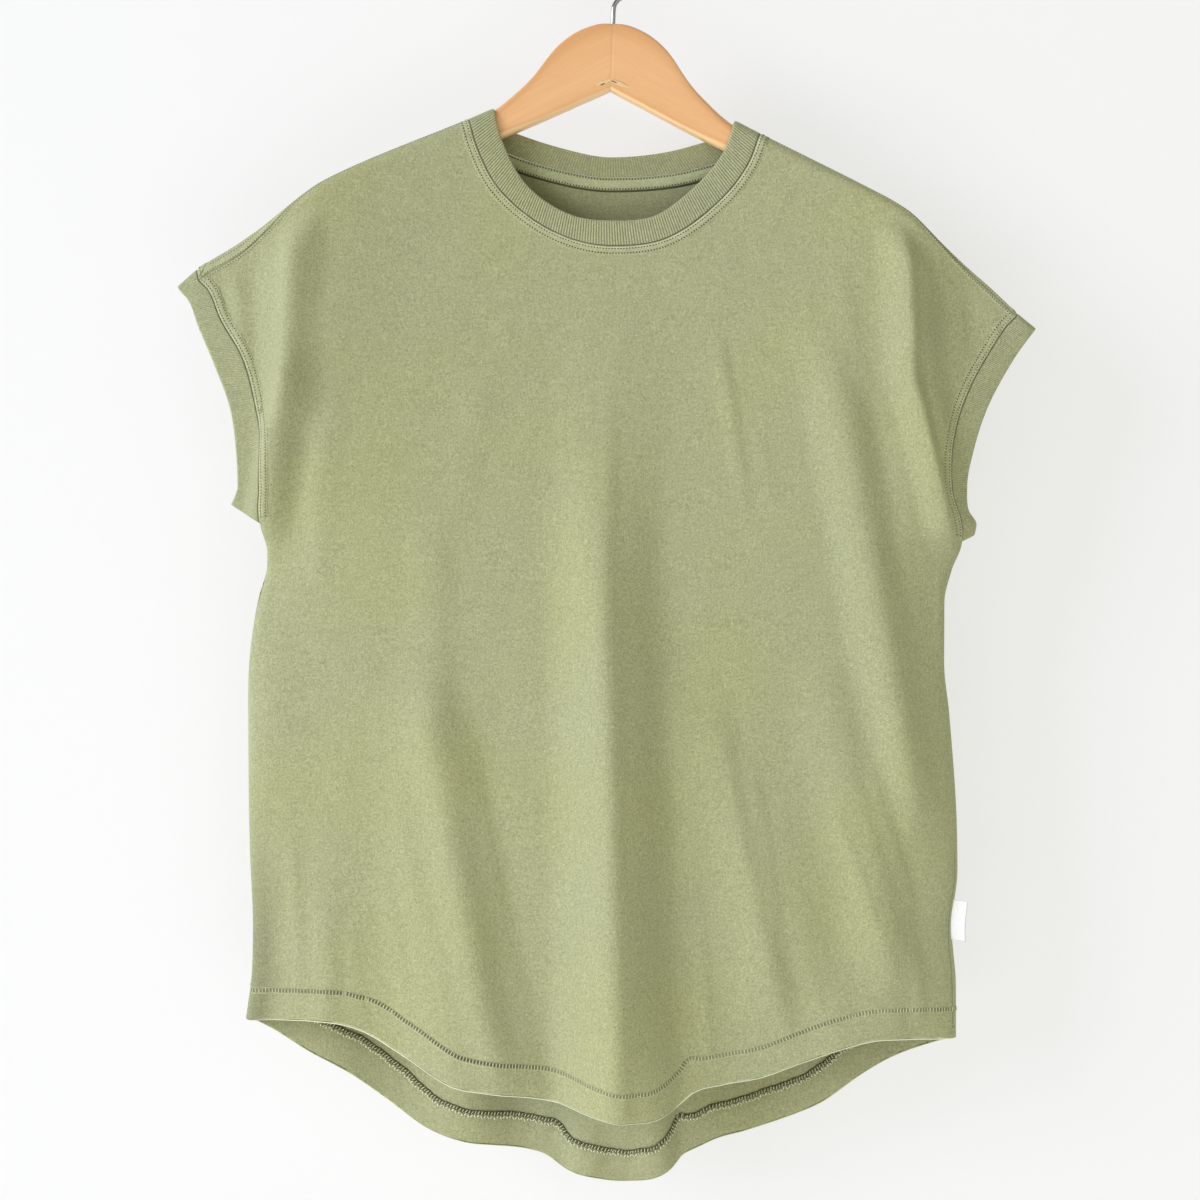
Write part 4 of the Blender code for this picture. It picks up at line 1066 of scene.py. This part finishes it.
def build_hem_outside(side_name, layer):
    """The ladder of the coverstitch on a bed with painted shade in its slots, stronger in some places than
    in others.
    """
    line = hem_line(layer, 0.0)
    x = line[:, 0]
    below = (line[len(line) // 2, 0], line[len(line) // 2, 1] - 50)
    slot_shade = 0.48 + 0.40 * np.exp(-(((x + 122) / 62) ** 2)) + 0.10 * np.sin(x * 0.06)
    slot_shade = np.clip(slot_shade + 0.16 * np.exp(-(((x + 232) / 16) ** 2)), 0, 0.95)
    strip = build_strip(f"hem_stitch_bed_{side_name}", layer, line, below, LADDER_BED, depth=slot_shade)
    centre, way, normal = stitch_line(layer, line, 0, below, 0.20, LADDER_PITCH)
    square = unit(np.cross(way, normal))
    bars = beads(f"hem_ladder_{side_name}", centre, square, normal, *LADDER_BAR, thread, slot="jersey")
    return [strip, bars]


def build_hem_inside(side_name, layer):
    """The raw edge of the turned-up cloth, its pale overlock loops, and dark bars of painted shade for the
    sunken underside of the coverstitch just above it, crossed by light threads."""
    base, face = inner_point(layer, even_line(hem_line(layer, 0.05), 0.55), HEM_WALL)
    way = ways_along(base)
    up = unit(np.cross(way, face))
    up = up * np.sign(up[:, 2:3])
    step = np.arange(len(base))
    wander = (0.35 * np.sin(step * 0.17) + 0.22 * np.sin(step * 0.45))[:, None]
    turn = (((step // 4) % 2) - 0.5)[:, None]
    bed = base + up * (3.0 + wander * 0.7) - face * 0.10
    name = f"hem_inside_bed_{side_name}"
    bars = beads(name, bed[::2], up[::2], face[::2], *INSIDE_BAR, stitch_underside_shade, slot="jersey")
    lean = unit(up + way * (0.35 + 0.3 * turn))[::4]
    reach = 3.0 + 0.5 * np.sin(step[::4] * 0.9)
    above = (bed + face * 0.40)[::4]
    name = f"hem_inside_loops_{side_name}"
    loops = beads(name, above, lean, face[::4], reach, 0.72, 0.6, thread, slot="jersey")
    fringe = (base + up * (0.35 + 0.5 * turn + wander) + face * 0.30)[::4]
    slant = unit(up + way * turn * 1.3)[::4]
    name = f"hem_overlock_{side_name}"
    raw = beads(name, fringe, slant, face[::4], *OVERLOCK_LOOP, pale_thread, slot="jersey")
    return [raw, bars, loops]


for side_name, layer in SIDES:
    pieces_on[side_name] += build_hem_outside(side_name, layer)
    pieces_on[side_name] += build_hem_inside(side_name, layer)

# A dark line of painted shade in the right side seam's groove, near the hem.
SIDE_SEAM = rows_of(
    StripRow,
    (-0.9, -0.08, 0.0, 0.0), (-0.4, 0.12, 0.12, 0.1), (0.0, -0.02, 0.0, 0.75), (0.4, 0.10, 0.10, 0.1),
    (1.6, 0.10, 0.10, 0.0), (2.4, -0.08, 0.0, 0.0),
)
z = np.linspace(-640, -762, 130)
x = right_side(-z) - 3.4 - 0.5 * np.sin(z * 0.05)
line = even_line(np.stack([x, unroll(x, z)], axis=-1), 1.5)
seam_line = build_strip("side_seam_line_right", -1, line, (400.0, line[60, 1]), SIDE_SEAM)
pieces_on["front"].append(seam_line)

# Rib bands
def rib_wave(stations):
    """Ridges and valleys of the rib, four points to each."""
    return np.tile([1.0, 0.35, -1.0, 0.35], (stations + 3) // 4)[:stations]


def build_band(name, seam_line_at, edge_line_at, node, fold_normal, pitch, contrast, rib_depth):
    """A rib band between its seam and its folded free edge, front half and then back half."""
    halves = []
    for layer in (-1, 1):
        fine = np.linspace(0, 1, 801)
        middle = 0.5 * (seam_line_at(layer, fine) + edge_line_at(layer, fine))
        length = lengths_along(place(layer, middle[:, 0], middle[:, 1]))
        count = int(round(length[-1] / pitch)) * 4
        halves.append(np.interp(np.linspace(0, length[-1], count + 1), length, fine))
    shares_across = (0.0, 0.02, 0.05, 0.12, 0.3, 0.5, 0.7, 0.86, 0.95, 1.0)
    loops, turns = [], []
    for share in shares_across:
        side, turn = {}, {}
        for layer, at in zip((-1, 1), halves):
            seam, edge = seam_line_at(layer, at), edge_line_at(layer, at)
            side[layer], turn[layer] = on_cloth(layer, seam + (edge - seam) * share)
        shared = 0.5 * (side[-1][-1] + side[1][-1])
        side[-1][-1] = shared
        if fold_normal is not None:
            turn[-1][-1] = fold_normal
        loops.append(np.concatenate([side[-1], side[1][1:-1][::-1]]))
        turns.append(np.concatenate([turn[-1], turn[1][1:-1][::-1]]))
    surface = np.stack(loops, axis=1)
    normal = np.stack(turns, axis=1)
    line = surface[:, 0]
    around = np.concatenate([line[-1:], line, line[:1]])
    way = unit(np.cross(unit(around[2:] - around[:-2]), normal[:, 0]))
    sign = np.sign(np.sum(way * (surface[:, 3] - line), axis=-1, keepdims=True))
    surface[:, 0] = line + way * sign * SEAM_GAP / 2
    stations = len(surface)
    wave = rib_wave(stations)[:, None]
    relief = np.array([-0.55, -0.10, 0.10, 0.16, 0.18, 0.18, 0.18, 0.18, 0.12, 0.0])
    strength = np.array([0.0, 0.5, 0.9, 1, 1, 1, 1, 1, 0.8, 0.4]) * rib_depth / 2
    top = surface + normal * (relief + wave * strength)[..., None]
    inner = surface - normal * (RIB_WALL - 0.1 + wave * strength * 0.8)[..., None]
    out = unit(surface[:, -1] - surface[:, -2])
    middle = 0.5 * (top[:, -1] + inner[:, -1])
    half = 0.5 * np.linalg.norm(top[:, -1] - inner[:, -1], axis=-1, keepdims=True)
    fold = []
    for angle in (60, 25, -25, -60):
        a = math.radians(angle)
        fold.append(middle + normal[:, -1] * half * math.sin(a) + out * half * (math.cos(a) - 0.5) * 0.9)
    fold = np.stack(fold, axis=1)
    sections = np.concatenate([top, fold, inner[:, ::-1]], axis=1)
    across = sections.shape[1]
    pale = np.zeros((stations, across))
    dark = np.zeros((stations, across))
    # Painted highlight on the rib crests, painted shade in the rib valleys, on the band's inside and at its
    # seam; the folded edge is worn pale.
    pale[:, :10] = np.where(wave > 0.9, 0.20 * contrast, 0.0)
    pale[:, 9:14] = 0.18
    dark[:, 1:10] = np.where(wave < -0.9, 0.68 * contrast, 0.0)
    dark[:, 14:] = 0.14 + np.where(wave < -0.9, 0.35 * contrast, 0.0)
    dark[:, 0] = 0.9
    dark[:, 1] = np.maximum(dark[:, 1], 0.6)
    fields = {"pale": pale, "dark": dark}
    return add_tube(name, sections, rib_knit, (node,), "rib_knit", fields, closed=True)


def build_arm_band(name, arm, node):
    lines = [lambda layer, at, edge=edge: arm_line(layer, arm, edge, at) for edge in (False, True)]
    return build_band(name, *lines, node, underarm_normal(arm), ARM_RIB_PITCH, 0.45, 0.26)


neck_lines = [lambda layer, at, edge=edge: neck_line(layer, edge, at) for edge in (False, True)]
neck_rib = build_band("neck_rib", *neck_lines, "neck_band", None, RIB_PITCH, 1.0, 0.42)
left_rib = build_arm_band("left_arm_rib", ARM_LEFT, "arm_band_left")
right_rib = build_arm_band("right_arm_rib", ARM_RIGHT, "arm_band_right")

# Neck tape inside the back neck
TAPE_PROFILE = (
    (0.4, 0.15), (0.9, 0.62), (1.6, 0.55), (2.4, 0.85), (4.8, 0.95),
    (7.2, 0.85), (8.0, 0.55), (8.7, 0.62), (9.2, 0.15), (10.3, 0.05),
)


def build_tape():
    """The tape covers the back neck seam inside, with a row of stitches along each edge."""
    shares = np.linspace(0.14, 0.86, 300)
    seam = even_line(neck_line(1, False, shares), 1.0)
    below = (0.0, -400.0)
    top = JERSEY_WALL + 0.25
    bottom = JERSEY_WALL + 0.1
    # Distance from the seam and height above the cloth, out along the tape and back below it.
    profile = [(distance, top, height) for distance, height in TAPE_PROFILE]
    profile += [(distance, bottom, 0.0) for distance in (TAPE_PROFILE[-1][0], TAPE_PROFILE[0][0])]
    sections = []
    for distance, depth, height in profile:
        point, face = inner_point(1, shifted_line(seam, distance, below), depth)
        sections.append(point + face * height)
    sections = np.stack(sections, axis=1)
    stations, across = sections.shape[:2]
    pale = np.zeros((stations, across))
    dark = np.zeros((stations, across))
    # Painted shade in the seam groove at the tape's upper edge, and a painted shadow line along and below
    # its lower edge.
    pale[:, 3:6] = 0.10
    dark[:, (0, 8, 9)] = (0.6, 0.95, 0.9)
    fields = {"pale": pale, "dark": dark}
    tape = add_tube("neck_tape_cloth", sections, tape_cloth, ("neck_tape",), "tape_cloth", fields)
    parts, holes = [], []
    for distance in (1.5, 8.1):
        moved = even_line(shifted_line(seam, distance, below), STITCH_PITCH)
        point, face = inner_point(1, moved, JERSEY_WALL + 0.25)
        way = ways_along(point)
        parts.append((point + face * 0.66, way, face))
        holes.append((point + face * 0.66 + way * STITCH_PITCH * 0.5, way, face))
    stitches = beads("neck_tape_stitches", *join(parts), 1.1, 0.6, 0.5, thread, slot="tape_cloth")
    # Dark beads of painted shade for the needle holes.
    dots = beads("neck_tape_needle_holes", *join(holes), 1.05, 1.15, 0.8, shadow_thread, slot="tape_cloth")
    return tape, [stitches, dots]


tape_piece, tape_trim = build_tape()


# Side label
def build_label():
    """A bare folded tape: two leaves from the side seam, joined by the fold at its outer end."""
    side_seam = outer[-1][ARMHOLE_ROWS:, -1]
    rows = []
    for share in np.linspace(0, 1, 25):
        z = LABEL_TOP - LABEL_HEIGHT * share
        base = float(np.interp(-z, -side_seam[:, 2], side_seam[:, 0])) - 1.4
        depth = float(np.interp(-z, -side_seam[:, 2], side_seam[:, 1])) - 2.6
        loop = []
        for leaf, reaches in ((-1, np.linspace(0, 1, 11)), (1, np.linspace(1, 0, 11))):
            for reach in reaches:
                bend = 1.6 * reach * reach + 0.8 * math.sin(math.pi * share)
                half = 0.6 * (0.35 + 0.65 * math.sin(math.pi * min(reach * 0.9 + 0.05, 1.0)))
                loop.append((base + LABEL_REACH * reach, depth - bend + leaf * half, z - 1.5 * reach))
        rows.append(loop)
    sections = np.array(rows)
    return add_tube("side_label_tape", sections, label_tape, ("side_label",), "label_tape")


label_piece = build_label()

# Hanger
def tilted(points):
    points = np.asarray(points, float)
    x = points[..., 0] * math.cos(HANGER_TILT) + points[..., 2] * math.sin(HANGER_TILT)
    z = points[..., 2] * math.cos(HANGER_TILT) - points[..., 0] * math.sin(HANGER_TILT)
    return np.stack([x, points[..., 1], z], axis=-1)


FRONT_SHARES = (0.08, 0.24, 0.74, 0.93)
# How much of the deeper and of the paler tone each point round a section has: the upper edge is deeper in
# tone, and the lower edge has a painted highlight, where it is lit from below, below a fine darker line.
DEEP_TONES = [0.5] * 13 + [0.55, 0.46, 0.12, 0.0, 0.14, 0.42, 0.34, 0.05] + [0.0] * 11
UNDERSIDE_HIGHLIGHT_TONES = [0.0] * 19 + [0.05, 0.45, 0.85, 0.95, 0.80, 0.45] + [0.12] * 4 + [0.0] * 3


def rounded_section(top, height, corner):
    half = HANGER_HALF_THICKNESS
    corner = min(corner, half, height / 2)
    corners = (
        (half - corner, top - corner, 0),
        (corner - half, top - corner, 90),
        (corner - half, top - height + corner, 180),
        (half - corner, top - height + corner, 270),
    )
    points = []
    for y, z, start in corners:
        for turn in (2, 16, 30, 44, 58, 72, 88):
            a = math.radians(start + turn)
            points.append((y + corner * math.cos(a), z + corner * math.sin(a)))
        if start == 90:
            face = height - 2 * corner
            points += [(-half, top - corner - face * share) for share in FRONT_SHARES]
    return points


def build_hanger_half(name, sign, made):
    drop_at = curve_of(WOOD, "x", "drop")
    height_at = curve_of(WOOD, "x", "height")
    corner_at = curve_of(WOOD, "x", "corner")
    even = [np.arange(2, 110, 2.0), np.arange(110, 190, 5.0), np.arange(190, 204.1, 1.0)]
    stations = np.concatenate([[0.02, 0.14]] + even)
    sections = []
    for reach in stations:
        forward = -HANGER_FORWARD * (reach / HANGER_END) ** 2
        top = -PEAK_DROP - float(drop_at(reach))
        pull = 0.04 if reach < 0.1 else 0.0
        pairs = rounded_section(top - pull, float(height_at(reach)) - 2 * pull, float(corner_at(reach)))
        sections.append([(sign * reach, (y * (1 - pull / 6)) + forward, z) for y, z in pairs])
    sections = tilted(np.array(sections))
    tones = {"deep": DEEP_TONES, "pale": UNDERSIDE_HIGHLIGHT_TONES}
    fields = {key: np.tile(values, (len(sections), 1)) for key, values in tones.items()}
    return add_tube(name, sections, made, slot="hanger_wood", fields=fields)


wood_halves = [
    build_hanger_half("hanger_half_left", -1, wood_left),
    build_hanger_half("hanger_half_right", 1, wood_right),
]
for half in wood_halves:
    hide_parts("hanger_body")


def small_bar(name, start, end, width, depth, made):
    """A small tapered sliver on the front of the level hanger, from start to end in x and z."""
    start, end = np.array(start, float), np.array(end, float)
    way = unit(end - start)
    side = np.array([-way[1], way[0]])
    sections = []
    for share, fullness in ((0, 0.15), (0.15, 0.7), (0.4, 1.0), (0.7, 0.9), (0.9, 0.5), (1, 0.12)):
        centre = start + (end - start) * share
        ring = []
        for k in range(8):
            a = 2 * math.pi * k / 8
            flat = centre + side * 0.5 * width * fullness * math.cos(a)
            reach = abs(flat[0])
            front = -HANGER_HALF_THICKNESS - HANGER_FORWARD * (reach / HANGER_END) ** 2
            ring.append((flat[0], front - depth * fullness * math.sin(a), flat[1]))
        sections.append(ring)
    sections = tilted(np.array(sections))
    return add_tube(name, sections, made, slot="hanger_wood")


APEX = -PEAK_DROP - 43.0
small_bar("hanger_joint_left", (0.0, APEX + 3.2), (-11.0, APEX - 1.2), 3.2, 0.35, wood_pale)
small_bar("hanger_joint_right", (0.0, APEX + 3.2), (13.0, APEX - 1.6), 3.4, 0.35, wood_pale)
# The two dark slivers are painted shade in small gouges at the joint.
small_bar("hanger_gouge_left", (-3.6, APEX + 0.9), (-7.6, APEX - 1.0), 0.9, 0.5, wood_gouge)
small_bar("hanger_gouge_right", (0.2, APEX + 2.6), (5.2, APEX + 0.9), 1.0, 0.5, wood_gouge)


def hook_path():
    radius = HOOK_INNER_RADIUS + WIRE_DIAMETER / 2
    start, end = math.radians(-52), math.radians(205)
    stem_top = np.array([0.0, -52.0])
    join_at = radius * np.array([math.cos(start), math.sin(start)]) - np.array([0, HOOK_INNER_RADIUS])
    leave = np.array([0.0, 9.0])
    arrive = 8.0 * np.array([-math.sin(start), math.cos(start)])
    path = [np.array([0.0, 0.6 - PEAK_DROP - STEM_DEPTH]), np.array([0.0, -64.0]), np.array([0.0, -57.0])]
    for t in np.linspace(0, 1, 17):
        first = (1 - t) ** 3 * stem_top + 3 * (1 - t) ** 2 * t * (stem_top + leave)
        path.append(first + 3 * (1 - t) * t * t * (join_at - arrive) + t**3 * join_at)
    for angle in np.linspace(start, end, 73)[1:]:
        path.append(np.array([radius * math.cos(angle), radius * math.sin(angle) - HOOK_INNER_RADIUS]))
    return np.array(path)


def build_hook():
    path = hook_path()
    ahead = ways_along(path)
    ends = (0.6, 1.1, 1.4)
    path = np.concatenate([path] + [path[-1:] + ahead[-1:] * step for step in ends])
    ahead = np.concatenate([ahead, np.repeat(ahead[-1:], 3, axis=0)])
    radii = np.full(len(path), WIRE_DIAMETER / 2)
    radii[-3:] *= (0.92, 0.7, 0.35)
    sections = []
    for centre, way, radius in zip(path, ahead, radii):
        ring = []
        for k in range(20):
            a = 2 * math.pi * k / 20
            out = radius * math.cos(a)
            ring.append((centre[0] - out * way[1], radius * math.sin(a), centre[1] + out * way[0]))
        sections.append(ring)
    sections = tilted(np.array(sections))
    return add_tube("hanger_hook_wire", sections, hook_steel, ("hanger_hook",), "hook_steel")


build_hook()

# Stage, light and camera
def stage_plane(name, corners, made):
    mesh = bpy.data.meshes.new(name)
    mesh.from_pydata(corners, [], [(0, 1, 2, 3)])
    mesh.materials.append(made)
    thing = bpy.data.objects.new(name, mesh)
    bpy.context.scene.collection.objects.link(thing)
    return thing


def stage_material(name, color):
    look = Shading(name)
    grain = look.noise(look.mapped((1, 1, 1)), 6, 3.0)
    look.surface({"Base Color": look.mix(grain, scaled(color, 0.985), color)})
    look.surface({"Roughness": 0.9, "Specular IOR Level": 0.1})
    return look


# The wall glows a little, and seen from behind it is clear, so that the shirt's back shows.
wall = stage_material("backdrop_paint", (0.32, 0.32, 0.318))
wall.surface({"Emission Color": (1.0, 1.0, 0.99), "Emission Strength": 0.62})
behind = wall.nodes.new("ShaderNodeNewGeometry").outputs["Backfacing"]
clear = wall.nodes.new("ShaderNodeBsdfTransparent").outputs[0]
either = wall.nodes.new("ShaderNodeMixShader")
for socket, source in zip(either.inputs, (behind, wall.shader.outputs[0], clear)):
    wall.put(source, socket)
wall.put(either.outputs[0], wall.nodes["Material Output"].inputs["Surface"])
floor = stage_material("floor_paint", (0.86, 0.86, 0.855))

WALL_Y, FLOOR_Z = 0.085, -1.4
wall_corners = [(-3, WALL_Y, FLOOR_Z), (3, WALL_Y, FLOOR_Z), (3, WALL_Y, 2.0), (-3, WALL_Y, 2.0)]
stage_plane("backdrop", wall_corners, wall.made)
stage_plane("floor", [(x, y, FLOOR_Z) for x, y in ((-6, -6), (6, -6), (6, 6), (-6, 6))], floor.made)


def area_light(name, place_at, look_at, size, power, color=(1, 1, 1)):
    data = bpy.data.lights.new(name, "AREA")
    data.shape = "RECTANGLE"
    data.size, data.size_y = size
    data.energy = power
    data.color = color
    thing = bpy.data.objects.new(name, data)
    bpy.context.scene.collection.objects.link(thing)
    thing.location = place_at
    way = Vector(look_at) - Vector(place_at)
    thing.rotation_euler = way.to_track_quat("-Z", "Y").to_euler()
    return thing


area_light("window", (-4.3, -2.5, 0.9), (0, 0, -0.45), (2.6, 3.0), 197.0, (0.945, 0.98, 1.15))
area_light("fill", (1.2, -2.6, 0.2), (0, 0, -0.45), (2.2, 2.2), 8.0, (1.0, 0.98, 0.88))
area_light("floor_bounce", (0.0, -1.1, -1.35), (0, 0, -0.3), (1.6, 0.9), 9.0, (1.0, 0.99, 0.95))
area_light("back_fill", (0.4, 2.4, 0.4), (0, 0, -0.45), (2.4, 2.0), 30.0)

world = bpy.data.worlds.new("studio")
bpy.context.scene.world = world
world.use_nodes = True
background = world.node_tree.nodes["Background"]
background.inputs["Color"].default_value = (1.0, 0.98, 0.80, 1.0)
background.inputs["Strength"].default_value = 0.315

CAMERA_X, CAMERA_Z, CAMERA_DISTANCE = -0.0113, -0.4640, 1.250
camera_data = bpy.data.cameras.new("camera")
camera_data.sensor_width, camera_data.lens = 36.0, 53.6
camera = bpy.data.objects.new("camera", camera_data)
bpy.context.scene.collection.objects.link(camera)
camera.location = (CAMERA_X, -CAMERA_DISTANCE, CAMERA_Z)
camera.rotation_euler = (math.radians(90), 0, 0)
bpy.context.scene.camera = camera
bpy.context.scene.view_settings.view_transform = "Standard"
